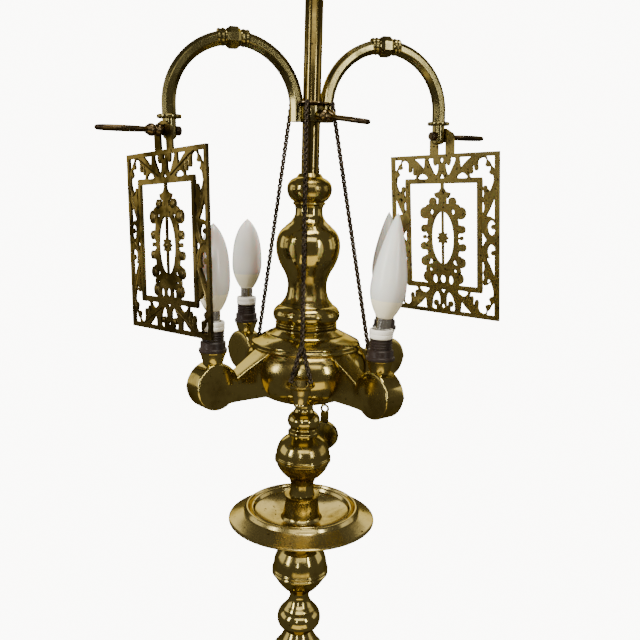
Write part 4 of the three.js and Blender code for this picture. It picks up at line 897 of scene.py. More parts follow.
# %% Rod, finial and collar
RESERVOIR_FLOOR, UPPER_ROD_LENGTH, COLLAR_DROP, COLLAR_HEIGHT = 4, 480, 153, 18
UPPER_ROD_BOTTOM = RESERVOIR_BOTTOM + RESERVOIR_FLOOR + SEAT_GAP
UPPER_ROD_TOP = UPPER_ROD_BOTTOM + UPPER_ROD_LENGTH
COLLAR_TOP = UPPER_ROD_TOP - COLLAR_DROP
COLLAR_BOTTOM = COLLAR_TOP - COLLAR_HEIGHT
COLLAR_MIDDLE = (COLLAR_TOP + COLLAR_BOTTOM) / 2
BUSH_RADIUS, COLLAR_RADIUS = 11.36, 13.57
HOOP_BOTTOM, HOOP_THICKNESS, HOOP_RADIUS = COLLAR_TOP + SEAT_GAP, 2, 20
FINIAL_RADIUS, FINIAL_HEIGHT, FINIAL_SOCKET = 19, 52, 20
FINIAL_SHARES = [(0.66, 0), (0.66, 0.1), (0.88, 0.14), (0.88, 0.2), (0.6, 0.25), (1.02, 0.34, 1, 0.54),
                 (0.96, 0.76, 0.42, 0.84), (0.42, 1)]


def tube(name, radii, levels, material, body, node, ease=0.4):
    """A tube with its outer and inner radius and its low and high level."""
    bm = bmesh.new()
    (outer, inner), (low, high) = radii, levels
    corners = ((inner, low), (outer, low), (outer, high), (inner, high))
    turned_ring(bm, eased([Vector(c) for c in corners], ease), 96)
    piece(name, bm, material, body, [node])


tube("rod_polished", (UPPER_ROD_RADIUS, ROD_RADIUS + RUNNING_GAP), (UPPER_ROD_BOTTOM, UPPER_ROD_TOP),
     rod_brass, "stand", "upper_rod")
bm = bmesh.new()
finial_bottom = UPPER_ROD_TOP + SEAT_GAP - FINIAL_SOCKET
finial_top = finial_bottom + FINIAL_HEIGHT
knob = eased(smooth_outline(FINIAL_SHARES, FINIAL_RADIUS, FINIAL_HEIGHT, finial_bottom), 0.6)
bore = UPPER_ROD_RADIUS + RUNNING_GAP
knob_ring = [Vector((bore, finial_bottom))] + knob + [
    Vector((0, finial_top)), Vector((0, UPPER_ROD_TOP + SEAT_GAP)), Vector((bore, UPPER_ROD_TOP + SEAT_GAP)),
    Vector((bore, finial_bottom)),
]
turned(bm, knob_ring, 72)
ring_radius, ring_wire, ring_sink = 20, 3.2, 3.6
ring_middle = finial_top + ring_radius + ring_wire - ring_sink
ring_path = [Vector((p.x, 0, ring_middle + p.y)) for p in round_points(ring_radius, ring_radius, 64)]
swept(bm, ring_path, ring_section(ring_wire, 14), closed=True)
bmesh.ops.remove_doubles(bm, verts=bm.verts, dist=WELD)
piece("finial_turned", bm, brass, "stand", ["finial"])

tube("collar_sleeve", (COLLAR_RADIUS, BUSH_RADIUS + RUNNING_GAP), (COLLAR_BOTTOM, COLLAR_TOP),
     arm_brass, "hanger", "collar", ease=0.8)
tube("bush_ring", (BUSH_RADIUS, UPPER_ROD_RADIUS + RUNNING_GAP),
     (COLLAR_BOTTOM + SEAT_GAP, COLLAR_TOP - SEAT_GAP), steel, "slider", "collar_bush")
BOSS_RADIUS, BOSS_REACH, SCREW_ANGLE, SCREW_DROOP = 5, 6, -52, 8
bm = bmesh.new()
boss_place = lift_z(COLLAR_MIDDLE) @ turn_z(SCREW_ANGLE)
boss_place = boss_place @ Matrix.Rotation(math.radians(90 + SCREW_DROOP), 4, "Y")
boss_points = rod_outline(BOSS_RADIUS, COLLAR_RADIUS - 1, COLLAR_RADIUS + BOSS_REACH)
turned(bm, eased(boss_points, 0.6), 32, boss_place)
piece("collar_boss", bm, arm_brass, "hanger", ())
tube("hoop_plate", (HOOP_RADIUS, COLLAR_RADIUS - 2), (HOOP_BOTTOM, HOOP_BOTTOM + HOOP_THICKNESS),
     dark_bronze, "hanger", "chain_hoop", ease=0.5)
print("collar at", round(COLLAR_MIDDLE, 1), "mm, top", round(ring_middle + ring_radius + ring_wire, 1))

# %% [markdown]
# ## The arms
# Each arm is one eight-sided bar bent into a half circle, with a turned knot at the top of the
# arch and a flange where the screen's stub begins. Both arms lean together by a degree or two,
# as they do in the photograph, so one end is a little lower than the other.

# %% Arms with their knots
ARM_ANGLE, ARM_TILT, ARM_ROOT, ARM_REACH, ARM_ACROSS, ARM_LEG = 17.2, 1.5, 17, 152, 14, 14.6
FLANGE_RADIUS, FLANGE_HEIGHT = 12.5, 4
ARCH_RADIUS = (ARM_REACH - ARM_ROOT) / 2
HALF_KNOT = [(7.9, 8.4), (8.6, 9), (9.2, 10.6), (8.6, 12.2), (8.2, 13), (8.8, 15), (8.2, 16.5), (0, 16.5)]
KNOT_NUT = [(0, -7.5), (8.8, -7.5), (11.5, -4), (11.5, 4), (8.8, 7.5), (0, 7.5)]
EDGE_SHARE, EDGE_NUDGE = 0.99, 0.06
ARM_SIDES = {
    "left": {"degrees": ARM_ANGLE + 180, "tilt": ARM_TILT, "spin": 3, "lean": -1.8},
    "right": {"degrees": ARM_ANGLE, "tilt": -ARM_TILT, "spin": -1.3, "lean": -2.5},
}


def arm_frame(side):
    """The frame of an arm: X out along it, tilted about the collar's middle."""
    facts = ARM_SIDES[side]
    tilt = Matrix.Rotation(math.radians(facts["tilt"]), 4, "Y")
    return turn_z(facts["degrees"]) @ lift_z(COLLAR_MIDDLE) @ tilt @ lift_z(-COLLAR_MIDDLE)


for side in ARM_SIDES:
    bm = bmesh.new()
    spring = COLLAR_BOTTOM + ARM_LEG
    middle = ARM_ROOT + ARCH_RADIUS
    path = [Vector((ARM_ROOT, 0, COLLAR_BOTTOM))]
    for step in range(49):
        turn = math.pi * (1 - step / 48)
        path.append(Vector((middle + ARCH_RADIUS * math.cos(turn), 0, spring + ARCH_RADIUS * math.sin(turn))))
    path.append(Vector((ARM_REACH, 0, COLLAR_BOTTOM + FLANGE_HEIGHT / 2)))
    corner = ARM_ACROSS / 2 / math.cos(math.pi / 8)
    octagon = []
    for n in range(8):
        for nudge in (-EDGE_NUDGE, EDGE_NUDGE):
            turn = (n + 0.5) * math.pi / 4 + nudge
            octagon.append((corner * EDGE_SHARE * math.cos(turn), corner * EDGE_SHARE * math.sin(turn)))
    swept(bm, path, octagon)
    apex = Matrix.Translation((middle, 0, spring + ARCH_RADIUS)) @ UP_TO_X
    turned(bm, [(r, -x) for r, x in reversed(HALF_KNOT)] + HALF_KNOT, 40, apex)
    turned(bm, KNOT_NUT, 8, apex @ turn_z(22.5))
    flange = eased(rod_outline(FLANGE_RADIUS, 0, FLANGE_HEIGHT), 1.2)
    turned(bm, flange, 48, Matrix.Translation((ARM_REACH, 0, COLLAR_BOTTOM)))
    piece(f"arched_arm_{side}", bm, arm_brass, "hanger", [f"arm_{side}"], arm_frame(side),
          degrees=20)
print("arch radius", ARCH_RADIUS, "mm")

# %% [markdown]
# ## Stubs and thumbscrews
# Under each flange a flattened stub turns on a pin. The thumbscrew goes through the screen's
# ear and the stub, and a nut holds it on the far side. Its handle is a wire ring pressed to an
# oval, behind two turned beads.

# %% Stubs, screws and nuts
STUB_RADIUS, STUB_HEIGHT, STUB_THICKNESS, STUB_TURN, SCREW_DROP = 7, 21, 11.6, 23.8, 12
SCREW_SHANK, BEADS_LENGTH, BEAD_RADIUS, LOOP_LENGTH, LOOP_WIDTH, LOOP_WIRE = 2.5, 19, 6.4, 55.6, 27, 2.6
NUT_LENGTH, NUT_RADIUS, SHOULDER_RADIUS, PLATE_THICKNESS = 6, 5, 5.3, 2.6
SHANK_SINK, SHOULDER_SINK, STUB_CROWN = 4, 2, 1.6
PLATE_PLACE = (STUB_THICKNESS + PLATE_THICKNESS) / 2 + SEAT_GAP
BEAD_FACE = PLATE_PLACE + PLATE_THICKNESS / 2 + SEAT_GAP
BEAD_SHARES = [(0.82, 0), (1, 0.12), (1, 0.28), (0.62, 0.4), (0.62, 0.45), (1, 0.54), (1.02, 0.62), (1, 0.72),
               (0.5, 1)]


def end_frame(side):
    """The frame under an arm's end: Z along the pin, X along the screw, zero at the flange."""
    return arm_frame(side) @ Matrix.Translation((ARM_REACH, 0, COLLAR_BOTTOM)) @ turn_z(STUB_TURN)


def thumbscrew_bm(tip, start):
    """A screw along X: its shank from tip, its beads from start, and then its wire loop."""
    bm = bmesh.new()
    turned(bm, rod_outline(SCREW_SHANK, tip, start + SHANK_SINK), 20, UP_TO_X)
    beads = eased(smooth_outline(BEAD_SHARES, BEAD_RADIUS, BEADS_LENGTH, start))
    turned(bm, [Vector((0, start))] + beads + [Vector((0, start + BEADS_LENGTH))], 32, UP_TO_X)
    middle = start + BEADS_LENGTH + LOOP_LENGTH / 2 - LOOP_WIRE
    loop = round_points(LOOP_LENGTH / 2 - LOOP_WIRE, LOOP_WIDTH / 2 - LOOP_WIRE, 56)
    swept(bm, [Vector((middle + p.x, p.y, 0)) for p in loop], ring_section(LOOP_WIRE, 12), closed=True)
    return bm


for side in ARM_SIDES:
    at_end = end_frame(side)
    at_screw = at_end @ lift_z(-SCREW_DROP)
    bm = bmesh.new()
    top, low = -SEAT_GAP, -SEAT_GAP - STUB_HEIGHT
    body = smooth_outline([(0.3, 0), (0.95, 0.02, 1, 0.2), (1, 1)], STUB_RADIUS, STUB_HEIGHT, low)
    turned(bm, [Vector((0, low))] + body + [Vector((0, top))], 40)
    for vert in bm.verts:
        if vert.co.z < top - STUB_CROWN:
            vert.co.x = max(-STUB_THICKNESS / 2, min(STUB_THICKNESS / 2, vert.co.x))
    piece(f"stub_{side}", bm, arm_brass, f"{side}_swivel", [f"{side}_stub"], at_end)

    nut_face = -STUB_THICKNESS / 2 - SEAT_GAP
    bm = bmesh.new()
    turned(bm, eased(rod_outline(NUT_RADIUS, nut_face - NUT_LENGTH, nut_face), 0.7), 24, UP_TO_X)
    piece(f"nut_{side}", bm, dark_bronze, f"{side}_swivel", [f"{side}_end_nut"], at_screw)

    bm = thumbscrew_bm(nut_face - NUT_LENGTH - 1, BEAD_FACE)
    shoulder = rod_outline(SHOULDER_RADIUS, STUB_THICKNESS / 2 + SEAT_GAP, BEAD_FACE + SHOULDER_SINK)
    turned(bm, shoulder, 32, UP_TO_X)
    piece(f"ring_screw_{side}", bm, dark_bronze, f"{side}_screw", [f"{side}_thumbscrew"],
          at_screw)

screw_place = lift_z(COLLAR_MIDDLE) @ turn_z(SCREW_ANGLE)
screw_place = screw_place @ Matrix.Rotation(math.radians(SCREW_DROOP), 4, "Y")
bm = thumbscrew_bm(BUSH_RADIUS + 2 * SEAT_GAP, COLLAR_RADIUS + BOSS_REACH + SEAT_GAP)
piece("ring_screw_collar", bm, dark_bronze, "collar_screw", ["collar_thumbscrew"], screw_place)
print("plate stands", round(PLATE_PLACE, 2), "mm from the stub's middle")

# %% [markdown]
# ## Cutting the pierced screens
# The screens were cast flat and their openings sawn and filed. So the border starts as a full
# sheet here too, and each opening is an outline that is cut from it: triangles and D shapes
# beside the leaves, and a star in each corner. Buds and scroll balls are put back over the
# openings. One quarter is drawn, as shares of half the width and of the height, and mirrored.

# %% Outlines in shares of the screen
SCREEN_WIDTH, SCREEN_HEIGHT, SCREEN_DROP, BAR_WIDTH, BAR_THICKNESS = 158, 188, 19.5, 4.6, 3.4
INNER_SIDE_SHARE, INNER_TOP_SHARE, INNER_LOW_SHARE = 0.705, 0.153, 0.835
INNER_BAR = 4.9
EAR_RADIUS, EAR_HEIGHT, EAR_DROP, EAR_PLAY = 17.5, 15.5, 6, 0.4


def flat_point(across, down):
    """A pair of shares as a point of the sheet, in millimetres, with zero at the top's middle."""
    return Vector((across * SCREEN_WIDTH / 2, -down * SCREEN_HEIGHT))


def smooth_loop(points, steps=5):
    """A closed smooth line through the points."""
    count, line = len(points), []
    for n in range(count):
        p0, p1, p2, p3 = (points[(n + k) % count] for k in (-1, 0, 1, 2))
        for step in range(steps):
            t = step / steps
            line.append(0.5 * (2 * p1 + (p2 - p0) * t + (2 * p0 - 5 * p1 + 4 * p2 - p3) * t * t
                               + (3 * p1 - p0 - 3 * p2 + p3) * t ** 3))
    return line


def shares_loop(shares, flip_across=1, flip_down=False, low_scale=1.0, smooth=True):
    """An outline in shares, mirrored or not. The low border can be a little deeper."""
    points = [flat_point(flip_across * a, 1 - d * low_scale if flip_down else d) for a, d in shares]
    return smooth_loop(points) if smooth else points


def oval(across, down, half_width, half_height, steps=28):
    return [flat_point(across, down) + p for p in round_points(half_width, half_height, steps)]


def box_outline(left, right, low, high):
    return [Vector((left, low)), Vector((right, low)), Vector((right, high)), Vector((left, high))]


print("quarter of a screen:", flat_point(1, 0.5)[:])

# %% Openings of the border
CORNER_HOLE = [(0.93, 0.026), (0.785, 0.026), (0.80, 0.045), (0.84, 0.058), (0.872, 0.082), (0.93, 0.103)]
STAR_HOLE = [(0.760, 0.034), (0.700, 0.032), (0.655, 0.045), (0.640, 0.066), (0.648, 0.092), (0.622, 0.108),
             (0.592, 0.098), (0.575, 0.072), (0.552, 0.082), (0.556, 0.112), (0.530, 0.126), (0.498, 0.116),
             (0.482, 0.092), (0.468, 0.104), (0.492, 0.124), (0.515, 0.145), (0.660, 0.146), (0.715, 0.158),
             (0.715, 0.262), (0.738, 0.262), (0.752, 0.238), (0.735, 0.212), (0.758, 0.194), (0.790, 0.200),
             (0.815, 0.232), (0.858, 0.222), (0.895, 0.190), (0.915, 0.158), (0.905, 0.138), (0.865, 0.132),
             (0.838, 0.118), (0.862, 0.100), (0.862, 0.086), (0.815, 0.088), (0.775, 0.078), (0.790, 0.060),
             (0.790, 0.044)]
TOP_TRIANGLE = [
    (0.530, 0.024), (0.318, 0.024), (0.328, 0.060), (0.345, 0.090), (0.385, 0.071), (0.450, 0.047),
]
SLOT_HOLE = [(0.716, 0.290), (0.742, 0.294), (0.756, 0.320), (0.742, 0.350), (0.716, 0.356)]
LOOP_HOLE = [(0.278, 0.146), (0.300, 0.128), (0.365, 0.117), (0.430, 0.125), (0.458, 0.146)]
HEART_HOLE = [(0.248, 0.024), (0.150, 0.020), (0.072, 0.056), (0.066, 0.086), (0.085, 0.113), (0.114, 0.127),
              (0.148, 0.117), (0.182, 0.094), (0.216, 0.070), (0.246, 0.047)]
SIDE_TRIANGLE = [
    (0.932, 0.258), (0.885, 0.298), (0.840, 0.335), (0.786, 0.372), (0.855, 0.377), (0.932, 0.395),
]
SCROLL_GAP = [(0.690, 0.448), (0.690, 0.580), (0.735, 0.548), (0.792, 0.514), (0.735, 0.480)]
LOW_HEART = [(0.062, 0.885), (0.100, 0.862), (0.148, 0.868), (0.196, 0.898), (0.214, 0.930), (0.212, 0.972),
             (0.080, 0.974), (0.056, 0.930)]
SCROLLS = ((0.876, 0.443), (0.876, 0.585))
SCROLL_HALF_WIDTH, SCROLL_HALF_HEIGHT = 5.7, 8.2
LOW_SCALE = (1 - INNER_LOW_SHARE) / INNER_TOP_SHARE


def border_layers():
    """The sheet's layers in order: each is (metal or not, outline)."""
    layers = []
    for side in (1, -1):
        for flipped in (False, True):
            scale = LOW_SCALE if flipped else 1.0
            for hole, own_scale, smooth in (
                (CORNER_HOLE, scale, False), (STAR_HOLE, scale, True), (TOP_TRIANGLE, scale, False),
                (LOOP_HOLE, scale, True), (SIDE_TRIANGLE, 1.0, False), (SLOT_HOLE, 1.0, True),
            ):
                layers.append((False, shares_loop(hole, side, flipped, own_scale, smooth)))
        layers += [
            (False, shares_loop(HEART_HOLE, side)), (True, oval(side * 0.122, 0.036, 3.0, 6.4)),
            (False, shares_loop(LOW_HEART, side)), (True, oval(side * 0.138, 0.934, 3.5, 3.8)),
            (True, oval(side * 0.100, 0.962, 2.2, 4.4)),
            (False, shares_loop(SCROLL_GAP, side, smooth=False)),
        ]
        for (across, down), ball in zip(SCROLLS, (-1, 1)):
            layers.append((False, oval(side * across, down, SCROLL_HALF_WIDTH, SCROLL_HALF_HEIGHT)))
            layers.append((True, oval(side * (across + 0.044), down + ball * 0.006, 4.0, 3.0)))
    for down, wide, high, base, point in ((0.036, 2.4, 3.0, 0.145, 0.112), (0.952, 2.5, 2.5, 0.843, 0.874)):
        layers.append((False, oval(0, down, wide, high)))
        layers.append((False, shares_loop([(-0.044, base), (0.044, base), (0, point)], smooth=False)))
    return layers


print("border layers:", len(border_layers()))

# %% [markdown]
# The middle of each screen is a surround of round lobes with an oval opening and a thin bar down
# it. A pointed bud hangs it from the frame, and a broad foot stands on the frame. A rosette
# sits on the middle of the bar, a common motif of such work.

# %% The surround in the middle
SURROUND_DOWN, OPEN_HALF_WIDTH, OPEN_HALF_HEIGHT, SURROUND_RIM = 0.516, 16.7, 30.8, 4.6
BODY_HALF_WIDTH, BODY_HALF_HEIGHT, BODY_POWER = 24.0, 41, 2.6
THIN_BAR, ROSETTE_RADIUS, PETALS, PETAL_SHARE = 2.4, 7, 8, 0.18
SURROUND_LOBES = [(0.183, 0.291, 5.4), (0.335, 0.360, 7.3), (0.355, 0.460, 4.8), (0.349, 0.513, 2.4),
                  (0.367, 0.571, 4.8), (0.341, 0.667, 6.2), (0.293, 0.767, 6.7)]
LOBE_NECKS = [
    (0.250, 0.335, 6.0), (0.300, 0.455, 4.4), (0.300, 0.575, 4.4), (0.290, 0.650, 5.0),
    (0.240, 0.720, 7.0),
]
BUD = [
    (0, 0.170), (0.024, 0.180), (0.024, 0.205), (0.060, 0.226), (0.104, 0.232), (0.152, 0.237),
    (0.140, 0.252), (0.112, 0.268), (0.070, 0.272), (0.075, 0.296), (0.060, 0.330),
]
FOOT = [(0, 0.660), (0.200, 0.680), (0.270, 0.720), (0.310, 0.770), (0.290, 0.815), (0, 0.818)]
LITTLE_HOLES = [
    (0.200, 0.354, 2.5, 2.9), (0.300, 0.500, 1.8, 1.8), (0.300, 0.531, 1.8, 1.8),
    (0.222, 0.667, 2.4, 2.6), (0.232, 0.720, 2.4, 1.5), (0.150, 0.780, 3.6, 5.2),
]


def both_halves(shares):
    """A closed outline from its right half, which starts and ends near the middle."""
    right = [flat_point(a, d) for a, d in shares]
    return right + [Vector((-p.x, p.y)) for p in reversed(right)]


def surround_layers():
    """The surround's layers. Its body lies between an oval and an oblong, by its power."""
    body = []
    for p in round_points(1, 1, 64):
        swell = (abs(p.x) ** BODY_POWER + abs(p.y) ** BODY_POWER) ** (-1 / BODY_POWER)
        reach = Vector((BODY_HALF_WIDTH * swell * p.x, BODY_HALF_HEIGHT * swell * p.y))
        body.append(flat_point(0, SURROUND_DOWN) + reach)
    layers = [(True, body), (True, both_halves(BUD)), (True, both_halves(FOOT))]
    for side in (1, -1):
        layers += [(True, oval(side * a, d, r, r)) for a, d, r in SURROUND_LOBES + LOBE_NECKS]
        layers += [(False, oval(side * a, d, w, h, 16)) for a, d, w, h in LITTLE_HOLES]
    layers.append((False, oval(0, 0.776, 4.2, 4.6)))
    layers.append((False, oval(0, SURROUND_DOWN, OPEN_HALF_WIDTH, OPEN_HALF_HEIGHT, 56)))
    middle = flat_point(0, SURROUND_DOWN).y
    reach = OPEN_HALF_HEIGHT + SURROUND_RIM / 2
    layers.append((True, box_outline(-THIN_BAR / 2, THIN_BAR / 2, middle - reach, middle + reach)))
    petals = []
    for n in range(PETALS * 8):
        turn = n * 2 * math.pi / (PETALS * 8)
        reach = ROSETTE_RADIUS * (1 + PETAL_SHARE * math.cos(PETALS * turn))
        petals.append(Vector((reach * math.cos(turn), middle + reach * math.sin(turn))))
    layers.append((True, petals))
    return layers


def bar_layers():
    """The outer and the inner frame, each as four bars."""
    half, low = SCREEN_WIDTH / 2, -SCREEN_HEIGHT
    side = INNER_SIDE_SHARE * half
    top, bottom = -INNER_TOP_SHARE * SCREEN_HEIGHT, -INNER_LOW_SHARE * SCREEN_HEIGHT
    boxes = [
        box_outline(-half, half, -BAR_WIDTH, 0), box_outline(-half, half, low, low + BAR_WIDTH),
        box_outline(-half, -half + BAR_WIDTH, low, 0), box_outline(half - BAR_WIDTH, half, low, 0),
        box_outline(-side, side, top - INNER_BAR, top), box_outline(-side, side, bottom, bottom + INNER_BAR),
        box_outline(-side, -side + INNER_BAR, bottom, top), box_outline(side - INNER_BAR, side, bottom, top),
    ]
    return [(True, box) for box in boxes]


def ear_layers():
    """The horseshoe ear, whose slot drops over the thumbscrew's shoulder."""
    low = -SCREEN_DROP - BAR_WIDTH / 2
    slot = SHOULDER_RADIUS + EAR_PLAY
    points = [Vector((EAR_RADIUS, low))]
    for n in range(31):
        turn = math.pi * n / 30
        points.append(Vector((EAR_RADIUS * math.cos(turn), -EAR_DROP + EAR_HEIGHT * math.sin(turn))))
    points += [Vector((-EAR_RADIUS, low)), Vector((-slot, low))]
    for n in range(21):
        turn = math.pi * n / 20
        points.append(Vector((-slot * math.cos(turn), slot * math.sin(turn))))
    points.append(Vector((slot, low)))
    return [(True, points)]


print("surround layers:", len(surround_layers()))

# %% [markdown]
# A Delaunay triangulation cuts the whole sheet along every outline at once, so no triangle lies
# partly in a hole. The middle of each triangle is then tested against the layers from the last
# to the first, and the first outline that holds it says whether it is metal.

# %% From outlines to plates
def holds(outline, point):
    """Counts the crossings of a ray to the right of the point."""
    inside = False
    for a, b in zip(outline, outline[1:] + outline[:1]):
        if (a.y > point.y) != (b.y > point.y):
            crossing = a.x + (point.y - a.y) * (b.x - a.x) / (b.y - a.y)
            inside = inside != (crossing > point.x)
    return inside


def sheet_triangles(layers):
    """Triangles of the metal that the layers leave."""
    verts, edges = [], []
    boxes = []
    for _, outline in layers:
        start, count = len(verts), len(outline)
        verts += [Vector((p.x, p.y)) for p in outline]
        edges += [(start + n, start + (n + 1) % count) for n in range(count)]
        xs, ys = [p.x for p in outline], [p.y for p in outline]
        boxes.append((min(xs), max(xs), min(ys), max(ys)))
    places, _, triangles, _, _, _ = delaunay_2d_cdt(verts, edges, [], 0, 1e-4, False)
    kept = []
    for triangle in triangles:
        middle = (places[triangle[0]] + places[triangle[1]] + places[triangle[2]]) / 3
        for (metal, outline), (left, right, low, high) in zip(reversed(layers), reversed(boxes)):
            if left <= middle.x <= right and low <= middle.y <= high and holds(outline, middle):
                if metal:
                    kept.append(triangle)
                break
    return places, kept


def add_plate(bm, places, triangles, thickness):
    """A flat plate standing in the YZ plane, centred on X."""
    used = sorted({n for t in triangles for n in t})
    front = {n: bm.verts.new((thickness / 2, places[n].x, places[n].y)) for n in used}
    back = {n: bm.verts.new((-thickness / 2, places[n].x, places[n].y)) for n in used}
    uses = {}
    for triangle in triangles:
        bm.faces.new([front[n] for n in triangle])
        bm.faces.new([back[n] for n in reversed(triangle)])
        for a, b in zip(triangle, triangle[1:] + triangle[:1]):
            uses.setdefault(frozenset((a, b)), []).append((a, b))
    for walls in uses.values():
        if len(walls) == 1:
            a, b = walls[0]
            bm.faces.new((front[b], front[a], back[a], back[b]))


def rounded_boss(bm, across, down, radius, height, face):
    """A low round boss, as on the cast lobes, sunk a little into the plate's face."""
    centre = flat_point(across, down)
    profile = [Vector((radius, -0.3))] + round_points(radius, height, 24)[:6] + [Vector((0, height))]
    place = Matrix.Translation((face, centre.x, centre.y)) @ UP_TO_X
    turned(bm, profile, 20, place)


WINDOW_HALF_SHARE, WINDOW_LOW_SHARE, WINDOW_TOP_SHARE = 0.63, 0.81, 0.178
half = SCREEN_WIDTH / 2
window = box_outline(-WINDOW_HALF_SHARE * half, WINDOW_HALF_SHARE * half, -WINDOW_LOW_SHARE * SCREEN_HEIGHT,
                     -WINDOW_TOP_SHARE * SCREEN_HEIGHT)
sheet = [(True, box_outline(-half, half, -SCREEN_HEIGHT, 0)), (False, window)]
ornament_places, ornament_kept = sheet_triangles(sheet + border_layers() + surround_layers() + bar_layers())
bar_places, bar_kept = sheet_triangles(bar_layers())
ear_places, ear_kept = sheet_triangles(ear_layers())
print("ornament triangles:", len(ornament_kept), "bars:", len(bar_kept), "ear:", len(ear_kept))

# %% [markdown]
# The side that faces outwards has the cast relief: round bosses on the lobes and raised veins on
# the leaves. The other side is flat, as in the photograph, where one screen shows each side.

# %% Hang the screens
BOSS_HEIGHT, BOSS_SHARE, VEIN_RADIUS, VEIN_SINK = 1.3, 0.86, 1.0, 0.2
VEINS = [
    [(0.16, 0.138), (0.28, 0.112), (0.45, 0.078), (0.60, 0.045), (0.73, 0.026)],
    [(0.89, 0.12), (0.925, 0.18), (0.88, 0.245), (0.82, 0.30), (0.74, 0.37)],
    [(0.60, 0.055), (0.598, 0.098)], [(0.52, 0.075), (0.522, 0.116)], [(0.85, 0.235), (0.78, 0.212)],
]
SCROLL_VEIN = [(0.75, 0.395), (0.79, 0.440), (0.81, 0.475), (0.86, 0.500), (0.94, 0.503)]


def add_relief(bm, face):
    """Bosses on the lobes, the scroll's eyes and the rosette, and veins on the leaves."""
    for side in (1, -1):
        for across, down, radius in SURROUND_LOBES:
            rounded_boss(bm, side * across, down, radius * BOSS_SHARE, BOSS_HEIGHT * radius / 5, face)
        rounded_boss(bm, side * 0.138, 0.934, 3.0, BOSS_HEIGHT, face)
        for flipped in (False, True):
            for vein in VEINS + [SCROLL_VEIN]:
                line = [flat_point(side * a, 1 - d if flipped else d) for a, d in vein]
                line = [Vector((face - VEIN_SINK, p.x, p.y)) for p in line]
                swept(bm, line, ring_section(VEIN_RADIUS, 8))
    rounded_boss(bm, 0, SURROUND_DOWN, 3.0, BOSS_HEIGHT, face)


for side, facts in ARM_SIDES.items():
    bm = bmesh.new()
    add_plate(bm, ornament_places, ornament_kept, PLATE_THICKNESS)
    add_plate(bm, bar_places, bar_kept, BAR_THICKNESS)
    add_relief(bm, PLATE_THICKNESS / 2)
    lean = Matrix.Rotation(math.radians(facts["lean"]), 4, "Y")
    bmesh.ops.transform(bm, matrix=lift_z(-SCREEN_DROP) @ lean, verts=bm.verts)
    add_plate(bm, ear_places, ear_kept, PLATE_THICKNESS)
    hung = end_frame(side) @ lift_z(-SCREW_DROP) @ Matrix.Translation((PLATE_PLACE, 0, 0))
    hung = hung @ Matrix.Rotation(math.radians(facts["spin"]), 4, "X")
    metal = screen_back_bronze if side == "left" else screen_brass
    piece(f"pierced_{side}", bm, metal, f"{side}_panel", [f"screen_{side}"], hung)
print("screens hung")

# %% [markdown]
# ## Chains
# A curb chain is a row of oval links, each turned a little from the last so that they lie
# flat. The links follow the same straight run as the CAD bar: from the hoop's rim down to the
# reservoir's shoulder, and then straight down.

# %% Chain links
CHAIN_RADIUS, BEND_RADIUS, BEND_DROP = 2.8, 76.5, 295
CHAINS = {"left": (160, 141.5, 14), "right": (-20, -7, 14), "rear": (83, 70, 62)}
CHAIN_TOP = HOOP_BOTTOM + HOOP_THICKNESS
BEND_HEIGHT = CHAIN_TOP - BEND_DROP
CHAIN_START = HOOP_RADIUS + CHAIN_RADIUS + 2 * SEAT_GAP
LINK_LENGTH, LINK_WIDTH, LINK_WIRE = 6.8, 5.9, 1.35
LINK_OVERLAP, LINK_TURN, LINK_BOW = 2.5 * LINK_WIRE, 38, 0.35


def link_row(bm, points, flip=0):
    """Links along a line of points, each gripping the last."""
    pitch = LINK_LENGTH - LINK_OVERLAP
    lengths = [(b - a).length for a, b in zip(points, points[1:])]
    total = sum(lengths)
    count = max(1, round(total / pitch))
    for n in range(count):
        walk = (n + 0.5) * total / count
        for (a, b), length in zip(zip(points, points[1:]), lengths):
            if walk <= length or b is points[-1]:
                centre = a.lerp(b, min(walk / length, 1))
                along = (b - a).normalized()
                break
            walk -= length
        side = along.cross(Vector((0.3, 1, 0))).normalized()
        up = along.cross(side).normalized()
        turn = math.radians(LINK_TURN if (n + flip) % 2 else -LINK_TURN)
        a_axis = side * math.cos(turn) + up * math.sin(turn)
        b_axis = up * math.cos(turn) - side * math.sin(turn)
        oval = []
        for k in range(12):
            angle = 2 * math.pi * k / 12
            oval.append(centre + along * (LINK_LENGTH / 2 - LINK_WIRE) * math.cos(angle)
                        + a_axis * (LINK_WIDTH / 2 - LINK_WIRE) * math.sin(angle)
                        + b_axis * LINK_BOW * math.sin(2 * angle))
        swept(bm, oval, ring_section(LINK_WIRE, 6), closed=True)
    return count


def chain_path(top, angle, drop):
    """From the hoop's rim to the bend at the reservoir's shoulder, and then straight down."""
    return [polar(CHAIN_START, top, CHAIN_TOP), polar(BEND_RADIUS, angle, BEND_HEIGHT),
            polar(BEND_RADIUS, angle, BEND_HEIGHT - drop)]


links = 0
for side, route in CHAINS.items():
    bm = bmesh.new()
    links += link_row(bm, chain_path(*route))
    piece(f"links_{side}", bm, chain_black, "hanger", [f"chain_{side}"], degrees=80)

BUCKET_RADIUS, BUCKET_HEIGHT, BUCKET_REACH, BUCKET_FALL = 14.7, 24, 89.5, 288
STRAND_GAP, SPLIT_RISE = 10.5, 36
FRONT_TOP, FRONT_ANGLE = -103, -92.5
bucket_top = CHAIN_TOP - BUCKET_FALL
start = polar(CHAIN_START, FRONT_TOP, CHAIN_TOP)
split = start.lerp(polar(BEND_RADIUS, FRONT_ANGLE, BEND_HEIGHT), (BUCKET_FALL - SPLIT_RISE) / BEND_DROP)
bm = bmesh.new()
links += link_row(bm, [start, split])
for across in (1, -1):
    foot = turn_z(FRONT_ANGLE) @ Vector((BUCKET_REACH, across * STRAND_GAP, bucket_top + 1))
    links += link_row(bm, [split, foot], 1)
piece("links_front", bm, chain_black, "hanger", ["chain_front"], degrees=80)
print("links:", links)

